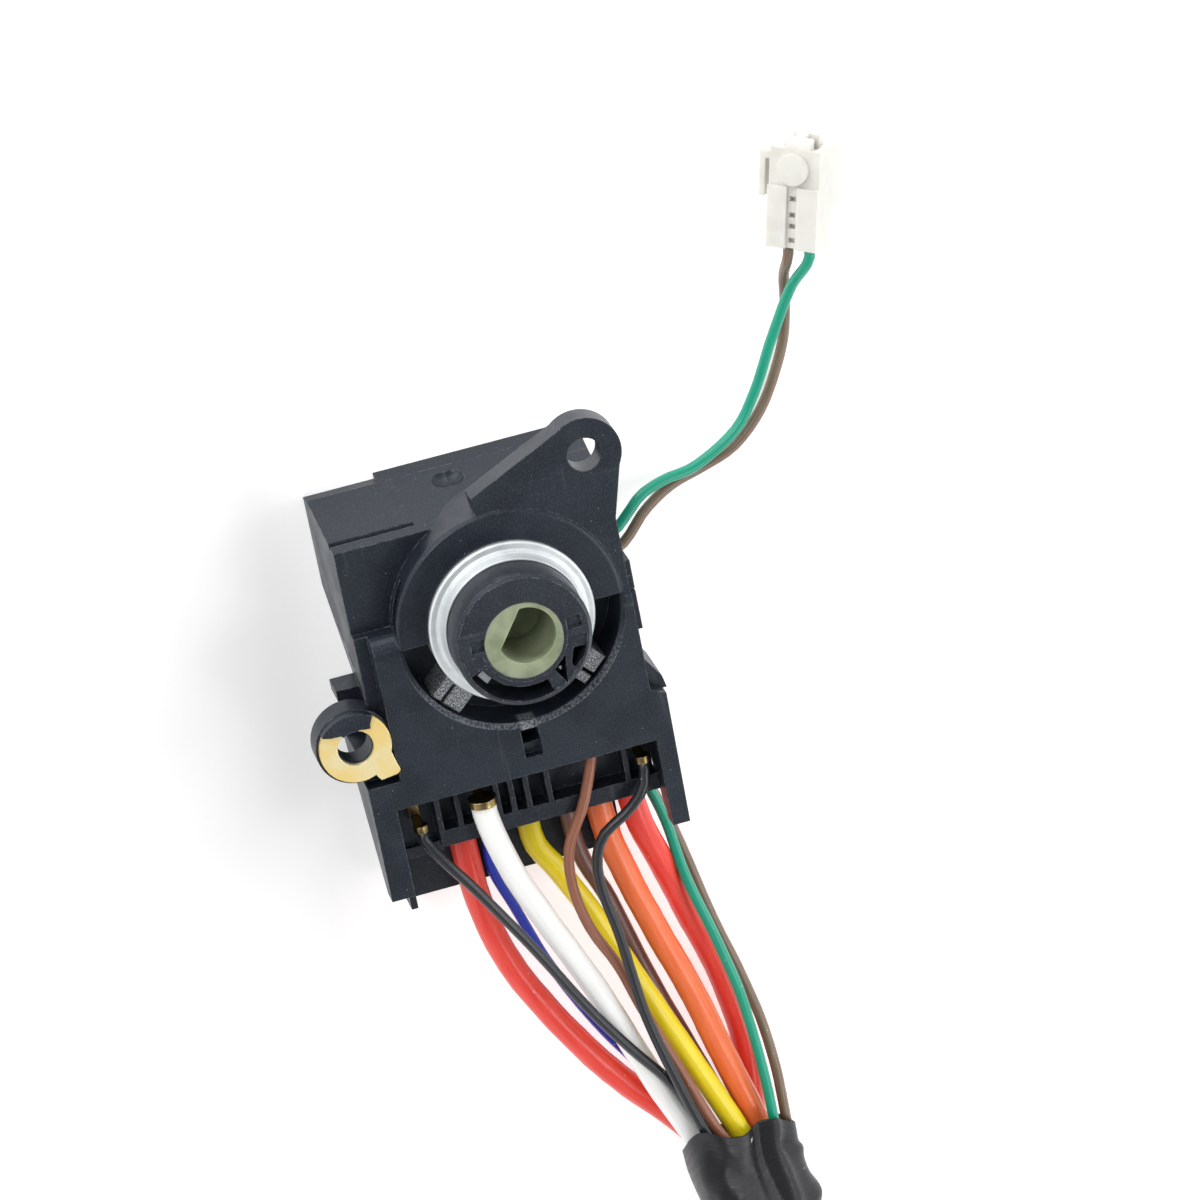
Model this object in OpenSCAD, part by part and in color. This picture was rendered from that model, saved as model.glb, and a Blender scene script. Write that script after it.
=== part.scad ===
// Column ignition switch: moulded housing, key rotor, contacts and wiring tail.
// The lock axis is +Z through the origin and the back face lies on z = 0.

/* [Body] */
// Depth from the back face to the front deck
body_depth = 20; // [19:0.5:25]
// Lock axis to the front edge of the left wall
left_w = 22.5; // [22:0.1:24.5]
// Draft of the left wall, outwards to the back
left_draft = 0.7; // [0.4:0.1:1]
// Lock axis to the right wall
right_w = 17.8; // [17.6:0.1:19]
// Lock axis to the back edge of the roof
roof_h = 19.3; // [18:0.1:22]
// Fall of the roof between its back and front edges
roof_fall = 4.4; // [2:0.1:5]
// Step from the deck down to the corner block
corner_step = 4.5; // [3:0.5:6]
// Moulded wall thickness
wall = 2; // [1.5:0.1:2.4]
// Thickness of the rear cover's plate
cover_t = 2.4; // [1.8:0.1:3]
// Gap between mouldings that seat in each other
seat_gap = 0.1; // [0.05:0.05:0.2]

/* [Lock barrel] */
// Radius of the bowl round the lock sleeve
bowl_r = 16.2; // [15.5:0.1:16.6]
// Outer radius of the lock sleeve
sleeve_r = 12.2; // [11.8:0.1:12.8]
// Height of the sleeve's lip above the deck
sleeve_proud = 0.8; // [0.2:0.1:2]
// Height of the sleeve's bevelled collar above its lip
collar_rise = 1.8; // [1:0.1:2.5]
// Radius of the key rotor
rotor_r = 10; // [9.6:0.1:10.4]
// Height of the rotor's face above the deck
rotor_proud = 8.3; // [5:0.1:10]
// Radial running clearance of the rotor in its sleeve
run_gap = 0.05; // [0.02:0.01:0.08]
// Radius of the nylon drive insert
insert_r = 5.75; // [5.2:0.05:6]
// Radius of the drive socket
socket_r = 4.25; // [3.6:0.05:4.6]
// Socket axis to its flat
socket_flat = 2.7; // [2:0.1:3.2]
// Depth of the drive socket
socket_depth = 10; // [6:0.5:11]

/* [Ears] */
// Screw hole diameter
screw_d = 5; // [4.2:0.1:5.2]
// Thickness of the mounting ears
ear_t = 4; // [3:0.1:4.4]
// Outer radius of the upper ear
ear_r = 5.5; // [5:0.1:6.5]
// Upper ear hole, right of the lock axis
ear_x = 15.1; // [13:0.1:16]
// Upper ear hole, above the lock axis
ear_y = 21.6; // [20:0.1:25]
// Lower ear hole, left of the left wall
low_ear_out = 3.3; // [2.6:0.1:4.5]
// Lower ear hole, below the lock axis
low_ear_y = 13.1; // [12:0.1:13.4]

/* [Wire box] */
// Outer face of the left leg, left of the left wall
left_leg_out = 2.9; // [2.4:0.1:4]
// Outer face of the right leg, right of the right wall
right_leg_out = 2; // [1.4:0.1:3]
// Thickness of the left leg
left_leg_t = 3.5; // [2:0.1:4]
// Thickness of the right leg
right_leg_t = 2.6; // [2:0.1:3]
// Lock axis to the end of the legs
leg_drop = 38.2; // [36:0.1:42]
// Lock axis to the top edge of the wire window
window_drop = 24.3; // [23.5:0.1:25]
// Height of the comb plate's face above the back
comb_z = 13; // [12.4:0.1:14]
// Height of the comb's ribs
rib_h = 3.5; // [2:0.1:3.6]
// Lock axis to the lower face of the terminal block
block_drop = 33.5; // [32.5:0.1:34.5]
// Length of the lip below the terminal block
lip_len = 11; // [6:0.5:13]

/* [Contacts] */
// Thickness of the stamped contacts
contact_t = 0.8; // [0.5:0.1:1]
// Thickness of the contact base
base_t = 2; // [1.5:0.1:2.4]
// Radius of the contact carrier's disc
carrier_r = 13.2; // [12.9:0.1:13.3]
// Turn from rest to the start stop, in degrees
start_turn = 80; // [60:1:90]
// Turn from rest to the accessory stop, in degrees
accessory_turn = 30; // [20:1:40]

/* [Wiring] */
// Diameter of the heavy feed wires
heavy_d = 4; // [3.4:0.1:4]
// Diameter of the signal wires
signal_d = 1.6; // [1.2:0.1:1.6]
// Diameter of the taped trunk
trunk_d = 17.5; // [17:0.5:19]
// Length of the harness plug
plug_l = 26; // [20:1:34]
// Length of the small white plug
pig_l = 14.8; // [12:0.2:18]
// Width of the small white plug
pig_w = 7.7; // [7:0.1:9]

/* [Hidden] */
$fn = 64;
// Small overlap that keeps cuts clean
eps = 0.05;

// Levels of the body along the lock axis
corner_z = body_depth - corner_step;
ear_z = corner_z;
rotor_top = body_depth + rotor_proud;
strip_z = body_depth - 3;
cavity_top = 8;

// Plan of the body
collar_r = bowl_r + 0.6;
deck_top = 2;
deck_left = left_w - 2;
cavity_left = left_w - 3.3;
low_ear_x = left_w + low_ear_out;
box_left = left_w + left_leg_out;
box_right = right_w + right_leg_out;
ledge_y = -0.3;
cavity_low = 18;
block_top = 20.5;
cheek_top = 16;
cheek_z = 4;
leg_tip = 3;
cover_drop = 31;
web_corner = [-2.2, roof_h + 0.1];
web_right = 11;
ear_at = [ear_x, ear_y];
low_ear_at = [-low_ear_x, -low_ear_y];
low_ear_r = 5.7;
ring_r = 5.3;
ring_t = 0.7;
screw_play = 0.15;
ear_lug = [3, 5.5, 5];
// Outline of the ground ring's tab, and of the cap that covers part of the ring
tab_outline = [[1, -3], [4.6, -0.6], [4.9, -1.8], [5.4, -3.9], [5.7, -4.9], [5.6, -5.3], [5.1, -5.6],
  [2.7, -5.9], [2.3, -5.3]];
cap_outline = [[0.5, 2.5], [0.9, 2.95], [2, 2.8], [2.6, 2.75], [2.7, 3.5], [3.5, 5.2], [0, 7], [-5, 4.6],
  [-4.5, 3.1], [-3.2, 2.8], [-1.8, 2.75], [-1.4, 2.3]];

// Lean of the left wall: where it starts, and its turn and tilt in degrees
lean_top = 4.5;
lean_turn = 6.3;
lean_tilt = 2;
seam_angle = 54.8;
seam_slits = [[0.8, 3.4], [7, 3.4], [12.2, 3]];
slit_depth = 0.8;

// Ribs on the right wall, and the slanted shoulder below them
clip_rows = [[-0.8, 3.6], [-7.2, -1.2]];
clip_out = 0.9;
clip_drop = 1.5;
shoulder_top = 12.3;
shoulder_low = 17.4;
shoulder_out = 0.9;

// Widths of the sleeve's feet on either side of their middle
foot_w = [2.3, 2.6];

// Stack of contacts from the cover upwards
base_z = cover_t;
contact_z = base_z + base_t;
touch_gap = 0.05;
bridge_z = contact_z + contact_t + touch_gap;
carrier_z = bridge_z + contact_t + 0.35;
carrier_t = 2;
carrier_top = carrier_z + carrier_t;
boss_h = 2;
spring_roof = carrier_top + boss_h - 1;
floor_t = 1.5;
floor_under = carrier_top + boss_h + 0.6;
bowl_floor = floor_under + floor_t;
neck_r = 5.8;
tail_w = 6.5;
track_r = [7.8, 11.8];
bridge_at = 10;
pin_at = [4.55, -6.25];
pin_r = 0.55;
pin_l = 10;
pin_sunk = 12;
pocket_depth = 6;
socket_at = [0.5, 0.7];
lug_angle = 180;
lug_half = 6;
stop_half = 3;
stop_play = 1.5;

// Terminal block
block_x = [-box_left + left_leg_t + seat_gap, box_right - right_leg_t - seat_gap];
rear_z = 9.6;
wire_play = 0.15;
rail_top = 31;
front_z = 17.8;
lip_z = [4.8, 7.1];
lip_right = 11.5;
rear_seat = 27;
comb_x = [-15.7, -12.7, -6.8, -4.6, -2.3, 0.9, 12.7];
comb_t = 0.8;

// Wires: name, diameter and the points of the route
white_d = heavy_d - 0.3;
yellow_d = heavy_d - 0.6;
middle_d = heavy_d - 1.4;
tape_y = -97;
black_left_route = [[-18.8, -29, 17.8], [-18.8, -30.6, 17.8], [-17, -34, 19], [-14, -38.6, 19.4],
  [-7, -51, 18.8], [0.2, -65.4, 16.8], [5.2, -74, 15.6], [10.2, -82, 13.9], [13.8, -90.6, 12.7],
  [16.6, -96.2, 12.4], [16.6, tape_y, 12.4]];
red_left_route = [[-12.2, -27, 9.6], [-12.2, -35, 9.6], [-11.6, -47, 9.4], [-9.2, -57.6, 8.6],
  [-4.8, -67.8, 7.8], [1.2, -78.6, 7], [5.2, -84.4, 6.8], [9, -89, 6.8], [11.8, -92.6, 6.8],
  [14, -96.2, 6.8], [14, tape_y, 6.8]];
blue_route = [[-8.4, -27, 9.6], [-8.4, -35, 9.6], [-8.8, -41.8, 9], [-6.2, -50.8, 7.8], [-3.2, -60.6, 6.4],
  [2.6, -74, 4.6], [9.6, -86, 3.4], [14.4, -93, 3], [16.2, -96.2, 3], [16.2, tape_y, 3]];
white_route = [[-9.3, -27, 18.6], [-9.3, -29, 18.6], [-7.4, -38.2, 18.6], [-3.2, -49.8, 17.2],
  [1.8, -62.6, 15], [5.6, -74, 12.8], [9, -84, 11.4], [12, -91.6, 10.9], [13.9, -96.2, 10.9],
  [13.9, tape_y, 10.9]];
yellow_route = [[-2.2, -27, 9.6], [-2.2, -35, 9.6], [-1.8, -40, 9.8], [0.6, -44.8, 9.8], [4, -52.4, 10],
  [9.8, -68, 10.2], [16.2, -85.4, 10.4], [19.2, -93.6, 10.8], [19.9, -96.2, 11], [19.9, tape_y, 11]];
brown_route = [[8.3, -21.6, 16.9], [8.2, -24, 16.9], [5.2, -32.2, 17.6], [2, -38, 17.6], [1.3, -44.6, 17],
  [2.8, -52.8, 16], [5.8, -60.2, 14.8], [8.2, -68.6, 14.2], [13, -83.4, 13.6], [15.6, -91.4, 13.8],
  [17.8, -96.2, 14.2], [17.8, tape_y, 14.2]];
dark_brown_route = [[3.8, -27, 9.6], [3.8, -35, 9.6], [4.6, -44, 9], [7.2, -51.6, 8.8], [9.5, -60.6, 8],
  [12, -70, 7.4], [15.2, -80.4, 7], [18.6, -92, 7], [19.4, -96.2, 7], [19.4, tape_y, 7]];
black_right_route = [[15, -27.5, 17.8], [15, -29.2, 17.8], [14.2, -31.8, 18.4], [11.6, -34.6, 18.4],
  [7, -37.6, 18.4], [5.5, -41, 18.2], [5.3, -45.6, 17.8], [6.6, -54.2, 17.2], [8.2, -68.6, 16.2],
  [10.6, -79.6, 15.6], [13.5, -90.4, 14.9], [15.6, -96.2, 14.6], [15.6, tape_y, 14.6]];
orange_route = [[8.6, -27, 9.6], [8.6, -35, 9.6], [9, -41.2, 9.6], [10.7, -49.2, 9.6], [13.6, -59.8, 9.4],
  [16.7, -70, 9], [19.6, -81.8, 8.4], [22.4, -93, 8], [23, -96.2, 8], [23, tape_y, 8]];
red_right_route = [[13.4, -27, 9.6], [13.4, -35, 9.6], [14.2, -41.4, 9.2], [16.7, -50.2, 7.8],
  [19.4, -60.2, 5.8], [22.4, -71, 4], [24.2, -84, 3.6], [23.4, -96.2, 3.6], [23.4, tape_y, 3.6]];
green_route = [[15.8, -27, 6.1], [16.2, -34, 6.1], [18.2, -42.6, 7.2], [19.3, -52, 9.6], [21.5, -61.4, 10.4],
  [23.6, -71.6, 10.6], [24.6, -81, 10.6], [25, -88.6, 10.8], [25, -96.2, 11.2], [25, tape_y, 11.2]];
tan_route = [[15.8, -27, 4.1], [16.4, -34, 4.1], [19.4, -45, 5.5], [22.7, -61.6, 6.4], [24.7, -69.6, 6.8],
  [26.6, -79, 7.4], [27.4, -87.6, 7.8], [27.4, -96.2, 8.2], [27.4, tape_y, 8.2]];
trunk_z = trunk_d / 2;
trunk_route = [[20.1, tape_y, trunk_z], [20.1, -101, trunk_z], [21, -109, trunk_z], [20.6, -120, trunk_z],
  [16.6, -137, trunk_z], [8.8, -155, trunk_z], [-2, -173, trunk_z], [-14, -193, trunk_z]];

// White plug: its frame stands on the wire end, at the middle of the front face
pig_at = [51.8, 40, 9.47];
pig_yaw = -12;
pig_roll = 38;
pig_t = 5.5;
pig_head_t = 9;
pig_head_y = 5;
pig_wire_z = -2.8;
pig_wire_x = [-1.4, 1.9];
pig_lead = 2;
port_y = [3.2, 0.4];
port_z = 6;
pig_green_route = concat([[right_w - wall, port_y[0], port_z], [right_w + 1.4, port_y[0], port_z],
  [21.6, 4.9, 5.6], [24.4, 7.2, 5], [28.4, 8.2, 4], [33.4, 8.6, 3], [40.6, 12.4, 2.4], [44, 16.8, 2.4],
  [48.2, 25.4, 3.4], [52, 32.8, 5]], pig_end(pig_wire_x[1]));
pig_tan_route = concat([[right_w - wall, port_y[1], port_z], [right_w + 1.4, port_y[1], port_z],
  [21.4, 1.6, 5.4], [24.6, 4.4, 4.4], [29.6, 6.6, 2.6], [34.8, 7.5, 1.3], [39.6, 9, 0.9], [42.8, 11.4, 0.9],
  [46, 15.2, 0.9], [50, 23.4, 1.2], [51.3, 30, 2], [51.5, 34, 3.2]], pig_end(pig_wire_x[0]));

// Height of the sloping roof at a given level
function roof_y(z) = roof_h - roof_fall * z / corner_z;

// Unit vector
function unit(v) = v / norm(v);

// Rotation of a vector by the white plug's roll, then its yaw
function pig_turn(v) =
  let (r = [v.x * cos(pig_roll) - v.z * sin(pig_roll), v.y, v.x * sin(pig_roll) + v.z * cos(pig_roll)])
  [r.x * cos(pig_yaw) - r.y * sin(pig_yaw), r.x * sin(pig_yaw) + r.y * cos(pig_yaw), r.z];

// Last two points of a wire that runs straight into the white plug
function pig_end(x) = [for (y = [-pig_lead, 0]) pig_at + pig_turn([x, y, pig_wire_z])];

// Direction of a route at one of its points
function heading(p, i) = unit(p[min(i + 1, len(p) - 1)] - p[max(i - 1, 0)]);

// Ring of points square to the route at one of its points
function ring(p, i, r, n) =
  let (t = heading(p, i), s = unit(cross(t, [0, 0, 1])), u = cross(s, t))
  [for (k = [0:n - 1]) p[i] + r * (cos(360 * k / n) * s + sin(360 * k / n) * u)];

// Points along a helix
function helix(r, z0, z1, turns, per_turn) =
  let (n = ceil(turns * per_turn))
  [for (i = [0:n]) [r * cos(360 * turns * i / n), r * sin(360 * turns * i / n), z0 + (z1 - z0) * i / n]];

// Point on a line from a that touches a circle, on the left side for side = 1
function touch_point(a, c, r, side) =
  let (d = c - a, turn = side * asin(r / norm(d)), angle = atan2(d.y, d.x) + turn)
  a + sqrt(norm(d) * norm(d) - r * r) * [cos(angle), sin(angle)];

// Points of an arc
function arc(c, r, a0, a1, steps) =
  [for (i = [0:steps]) c + r * [cos(a0 + (a1 - a0) * i / steps), sin(a0 + (a1 - a0) * i / steps)]];

// Round tube swept along a route
module tube(p, d, n) {
  m = len(p);
  points = [for (i = [0:m - 1]) each ring(p, i, d / 2, n)];
  near = [for (k = [n - 1:-1:0]) k];
  far = [for (k = [0:n - 1]) (m - 1) * n + k];
  sides = [for (i = [0:m - 2], k = [0:n - 1], half = [0, 1])
    let (a = i * n + k, b = i * n + (k + 1) % n)
    half == 0 ? [a, b, a + n] : [b, b + n, a + n]];
  polyhedron(points, concat([near, far], sides));
}

// Outline in Y and Z carried along X from x0 to x1
module along_x(x0, x1) {
  translate([x0, 0, 0]) rotate([90, 0, 90]) linear_extrude(x1 - x0) children();
}

// Cuboid between two corners
module block(a, b) {
  translate(a) cube(b - a);
}

// Sector of a flat ring
module sector(r0, r1, a0, a1) {
  polygon(concat(arc([0, 0], r1, a0, a1, 16), arc([0, 0], r0, a1, a0, 16)));
}

// Cylinder lying along Y between two places
module along_y(x, z, r, y0, y1) {
  translate([x, y1, z]) rotate([90, 0, 0]) cylinder(r = r, h = y1 - y0);
}

// Upper ear with its web, in plan
module upper_ear_plan() {
  left = touch_point(web_corner, ear_at, ear_r - 0.2, 1);
  right = touch_point([right_w, web_right], ear_at, ear_r - 0.2, -1);
  polygon([web_corner, left, ear_at, right, [right_w, web_right], [right_w, 0], [0, 0]]);
  translate(ear_at) circle(ear_r);
}

// Wire box in plan, with the slanted right shoulder
module box_plan() {
  polygon([[-box_left, -block_top + 0.5], [-box_left, -leg_drop], [box_right, -leg_drop],
    [box_right + 0.2, -shoulder_low], [right_w, -shoulder_low + 1], [right_w - wall, -shoulder_low + 1],
    [-deck_left, -block_top + 0.5]]);
}

// Solid outline of the front housing before it is hollowed
module housing_outer() {
  difference() {
    along_x(-left_w - left_draft, right_w) polygon([[-block_top, cover_t], [roof_y(cover_t), cover_t],
      [roof_y(corner_z), corner_z], [-block_top, corner_z]]);
    lean_cut();
  }
  along_x(-deck_left, right_w) polygon(concat([[-block_top, corner_z - eps], [deck_top, corner_z - eps]],
    arc([deck_top - 3, body_depth - 3], 3, 0, 90, 6), [[-block_top, body_depth]]));
  block([-left_w, -block_top, corner_z - eps], [-deck_left + eps, deck_top, strip_z]);
  rotate_extrude() polygon(concat([[0, cover_t], [collar_r, cover_t]],
    arc([collar_r - 0.7, body_depth - 0.7], 0.7, 0, 90, 5), [[0, body_depth]]));
  translate([0, 0, ear_z]) linear_extrude(ear_t) upper_ear_plan();
  lower_ear();
  wire_box_shell();
  side_clips();
}

// Space outside the left wall: its draft, and its lean in the lower half
module lean_cut() {
  back = -left_w - left_draft;
  draft = atan(left_draft / corner_z);
  translate([back, 0, 0]) rotate([0, draft, 0]) block([-10, -60, -20], [0, 60, 40]);
  translate([back, lean_top, 0]) rotate([0, -lean_tilt, lean_turn]) block([-10, -60, -20], [0, 30, 20]);
}

// Lower ear with the raised cap over the ground ring
module lower_ear() {
  translate([low_ear_at.x, low_ear_at.y, ear_z - 0.3]) {
    cylinder(r = low_ear_r, h = ear_t);
    translate([0, -3, 0]) cube([low_ear_out + eps, 6, ear_t]);
    intersection() {
      translate([0, 0, ear_t - eps]) linear_extrude(ring_t + 0.9) polygon(cap_outline);
      difference() {
        cylinder(r = low_ear_r - 0.15, h = ear_t + 5);
        translate([0, 0, -1]) cylinder(r = ring_r + 0.1, h = ear_t + ring_t + 1.05);
        translate([0, 0, -1]) cylinder(r = screw_d / 2 + 0.35, h = ear_t + 9);
      }
    }
  }
}

// Tapered legs and front plate of the wire box
module wire_box_shell() {
  cheek = [[-cheek_top, cheek_z], [-leg_drop, body_depth - leg_tip], [-leg_drop, body_depth],
    [-block_top + 0.5, body_depth], [-block_top + 0.5, strip_z], [-cheek_top, strip_z]];
  along_x(-box_left, -box_left + left_leg_t) polygon(cheek);
  intersection() {
    along_x(box_right - right_leg_t, box_right + 1) polygon(cheek);
    translate([0, 0, cheek_z]) linear_extrude(body_depth - cheek_z) box_plan();
  }
  translate([0, 0, body_depth - wall]) linear_extrude(wall) intersection() {
    box_plan();
    translate([-box_left, -window_drop]) square([box_left + box_right + 1, window_drop]);
  }
  block([-left_w - ear_lug.x, -cheek_top, ear_lug.z - 2], [-left_w + 2.4, -cheek_top + ear_lug.y + 1.5,
    ear_lug.z + 3]);
  // Web between the left leg and the leaning wall
  block([-box_left + 1, -block_top, cavity_top + 1], [-left_w + 2.6, -cheek_top - 0.5, strip_z - 1]);
}

// Ribs and slanted shoulder on the right wall
module side_clips() {
  for (y = clip_rows)
    block([right_w - eps, y[0], cavity_top], [right_w + clip_out, y[1], body_depth - clip_drop]);
  translate([0, 0, cavity_top]) linear_extrude(strip_z + 0.3 - cavity_top)
    polygon([[right_w - 1, -shoulder_top], [right_w + 0.3, -shoulder_top],
      [box_right + shoulder_out - 0.4, -shoulder_low + 1.6], [box_right + shoulder_out, -shoulder_low - 0.3],
      [right_w - 1, -shoulder_low - 0.3]]);
}

// Front housing with its bowl, cavities, holes and slots
module front_housing() {
  color("#22252b") difference() {
    housing_outer();
    // Bowl: open in its lower half, with the sleeve's seat all round
    difference() {
      union() {
        translate([0, 0, bowl_floor]) cylinder(r = bowl_r, h = body_depth);
        translate([0, 0, body_depth - 0.7]) cylinder(r1 = bowl_r - 0.1, r2 = bowl_r + 0.8, h = 0.9);
      }
      block([-bowl_r - 2, ledge_y, 0], [bowl_r + 2, bowl_r + 2, 2 * body_depth]);
    }
    translate([0, 0, bowl_floor]) cylinder(r = sleeve_r + seat_gap, h = body_depth);
    translate([0, 0, floor_under - 1]) cylinder(r = 8, h = body_depth);
    // Hollow behind the floor for the carrier, the contacts and the cover's rim
    difference() {
      union() {
        translate([0, 0, cover_t - 1]) cylinder(r = carrier_r + 1.4, h = floor_under - cover_t + 1);
        block([-cavity_left, -cavity_low, cover_t - 1],
          [right_w - wall, roof_y(cavity_top) - wall, cavity_top]);
      }
      turn_stops();
    }
    block([block_x[0] + 4, -block_top - 1, cover_t - 1], [block_x[1] - 0.6, -cavity_low + 1, rear_z + 2.2]);
    // Space for the terminal block
    block([block_x[0] - seat_gap, -leg_drop - 10, cover_t - 1],
      [block_x[1] + seat_gap, -block_top, body_depth - wall]);
    // Screw holes
    translate([ear_at.x, ear_at.y, 0]) cylinder(d = screw_d, h = body_depth + 5);
    translate([low_ear_at.x, low_ear_at.y, 0]) cylinder(d = screw_d, h = body_depth + 5);
    // Slot below the bowl, deeper at its upper end
    block([-2, -19.9, body_depth - 5], [0.6, -17.2, body_depth + 1]);
    block([-2, -21.6, body_depth - 1.5], [0.6, -19.8, body_depth + 1]);
    // Seat of the ground ring's tab
    translate([low_ear_at.x, low_ear_at.y, ear_z - 0.3 + ear_t]) linear_extrude(5) offset(delta = 0.15)
      polygon(tab_outline);
    // Ports of the two thin wires in the right wall
    for (y = port_y)
      translate([right_w - wall - 1, y, port_z]) rotate([0, 90, 0])
        cylinder(d = signal_d + 0.3, h = wall + 3);
    // Groove in the roof, dimple, slits along the left seam and slot in the collar
    translate([-left_w - 1, roof_y(corner_z - 2.2), corner_z - 2.2]) rotate([-atan(roof_fall / corner_z), 0, 0])
      translate([0, -0.8, -0.4]) cube([left_w - 9, 2, 0.8]);
    for (x = [-3.4, -2.2])
      translate([x, roof_y(6) + 1.6, 6]) sphere(2.4);
    translate([-left_w - left_draft / 2, lean_top, 0]) rotate([-seam_angle, 0, 0]) for (s = seam_slits)
      block([-1, -s[0] - s[1], -0.3], [slit_depth, -s[0], 0.3]);
    translate([0, 0, corner_z + 1.2]) linear_extrude(1.9) sector(collar_r - 0.7, collar_r + 2, 147, 172);
  }
}

// Stops that limit the carrier's lug, standing in from the cavity's wall
module turn_stops() {
  start_stop = lug_angle - start_turn - lug_half - stop_play - stop_half;
  accessory_stop = lug_angle + accessory_turn + lug_half + stop_play + stop_half;
  for (a = [start_stop, accessory_stop])
    translate([0, 0, carrier_z - 0.2]) linear_extrude(floor_under)
      sector(carrier_r + 0.35, carrier_r + 3, a - stop_half, a + stop_half);
}

// Rear cover: flat plate with a rim that plugs into the housing
module rear_cover() {
  rim_t = 1.2;
  inner = wall + seat_gap;
  inner_left = -cavity_left + seat_gap;
  top = roof_y(cavity_top) - inner;
  color("#1b1e23") {
    difference() {
      along_x(-left_w - left_draft, right_w) polygon([[-cover_drop, 0], [roof_y(0), 0],
        [roof_y(cover_t), cover_t], [-cover_drop, cover_t]]);
      lean_cut();
      // Lower edge at the left end of the roof
      block([-left_w - 1, roof_h - 0.9, -1], [-12.6, roof_h + 1, cover_t + 1]);
      // Shallow stiffening pockets between ribs
      for (x = [-15.6, -7.6, 5.6, 13.2], y = [-25, -12, 4])
        translate([x - 3.2, y - 4.5, -eps]) cube([6.4, 9, 0.8]);
    }
    difference() {
      block([inner_left, -cavity_low + seat_gap, cover_t - eps], [right_w - inner, top, cover_t + base_t]);
      block([inner_left + rim_t, -cavity_low - 1, cover_t - 1],
        [right_w - inner - rim_t, top - rim_t, cover_t + base_t + 1]);
    }
  }
}

// Cast sleeve round the rotor, with two slotted feet to the bowl's wall
module lock_sleeve() {
  bore = rotor_r + run_gap;
  top = body_depth + sleeve_proud;
  color("#c9cdd0") {
    rotate_extrude() polygon([[bore, bowl_floor], [sleeve_r, bowl_floor], [sleeve_r, top - 0.25],
      [sleeve_r - 0.25, top], [sleeve_r - 1.05, top], [sleeve_r - 1.2, top + 0.45],
      [sleeve_r - 1.4, top + 0.5], [bore + 0.2, top + collar_rise], [bore, top + collar_rise]]);
    for (a = [222, 312])
      rotate(a) difference() {
        intersection() {
          block([sleeve_r - 0.5, -foot_w[0], bowl_floor], [bowl_r, foot_w[1], body_depth - 1.2]);
          cylinder(r = bowl_r - seat_gap, h = body_depth);
        }
        block([sleeve_r + 0.4, -0.9, bowl_floor + 1], [bowl_r + 1, -0.3, body_depth]);
        translate([bowl_r + 4, 0, body_depth + 1]) rotate([90, 0, 0]) cylinder(r = 5, h = 10, center = true);
      }
  }
}

// Brass ground ring on the lower ear, with its tab
module ground_ring() {
  color("#d8b23c") translate([low_ear_at.x, low_ear_at.y, ear_z - 0.3 + ear_t]) difference() {
    union() {
      cylinder(r = ring_r, h = ring_t);
      linear_extrude(ring_t) polygon(tab_outline);
    }
    translate([0, 0, -1]) cylinder(d = screw_d + 2 * screw_play, h = ring_t + 2);
  }
}

// Insulating base that carries the fixed contacts
module contact_base() {
  inset = wall + 2 * seat_gap + 1.2;
  color("#5b4632") difference() {
    union() {
      block([-cavity_left + inset - wall, -cavity_low + seat_gap, base_z],
        [right_w - inset, roof_y(cavity_top) - inset, contact_z]);
      block([block_x[0] + 4 + seat_gap, -block_top + seat_gap, base_z],
        [right_w - inset, -cavity_low + seat_gap + eps, contact_z]);
    }
    translate([0, 0, base_z - 1]) cylinder(r = 5, h = base_t + 2);
  }
}

// Contact strip that runs down to the wire box and turns up there
module contact_tail(x, y, w) {
  end = -block_top + seat_gap;
  block([x - w / 2, end, contact_z], [x + w / 2, y, contact_z + contact_t]);
  block([x - w / 2, end, contact_z], [x + w / 2, end + contact_t, rear_z + 1.4]);
}

// One arc of contact track
module contact_track(a0, a1) {
  translate([0, 0, contact_z]) linear_extrude(contact_t) sector(track_r[0], track_r[1], a0, a1);
}

module battery_contact() {
  color("#c98a4b") {
    contact_track(-10, 190);
    contact_tail(red_left_route[0].x, 0.6, 3);
    contact_tail(red_right_route[0].x, 0.6, 3);
    block([red_left_route[0].x, -1.6, contact_z], [-track_r[1] + 1.5, 0.6, contact_z + contact_t]);
    block([track_r[1] - 1.5, -1.6, contact_z], [red_right_route[0].x, 0.6, contact_z + contact_t]);
  }
}

module start_contact() {
  color("#c98a4b") {
    contact_track(218, 260);
    contact_tail(yellow_route[0].x, -9, 2.6);
  }
}

module accessory_contact() {
  color("#c98a4b") {
    contact_track(274, 300);
    contact_tail(dark_brown_route[0].x, -9, 2.6);
  }
}

module ignition_contact() {
  color("#c98a4b") {
    contact_track(309, 338);
    contact_tail(orange_route[0].x, -5.5, 2.6);
  }
}

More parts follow.
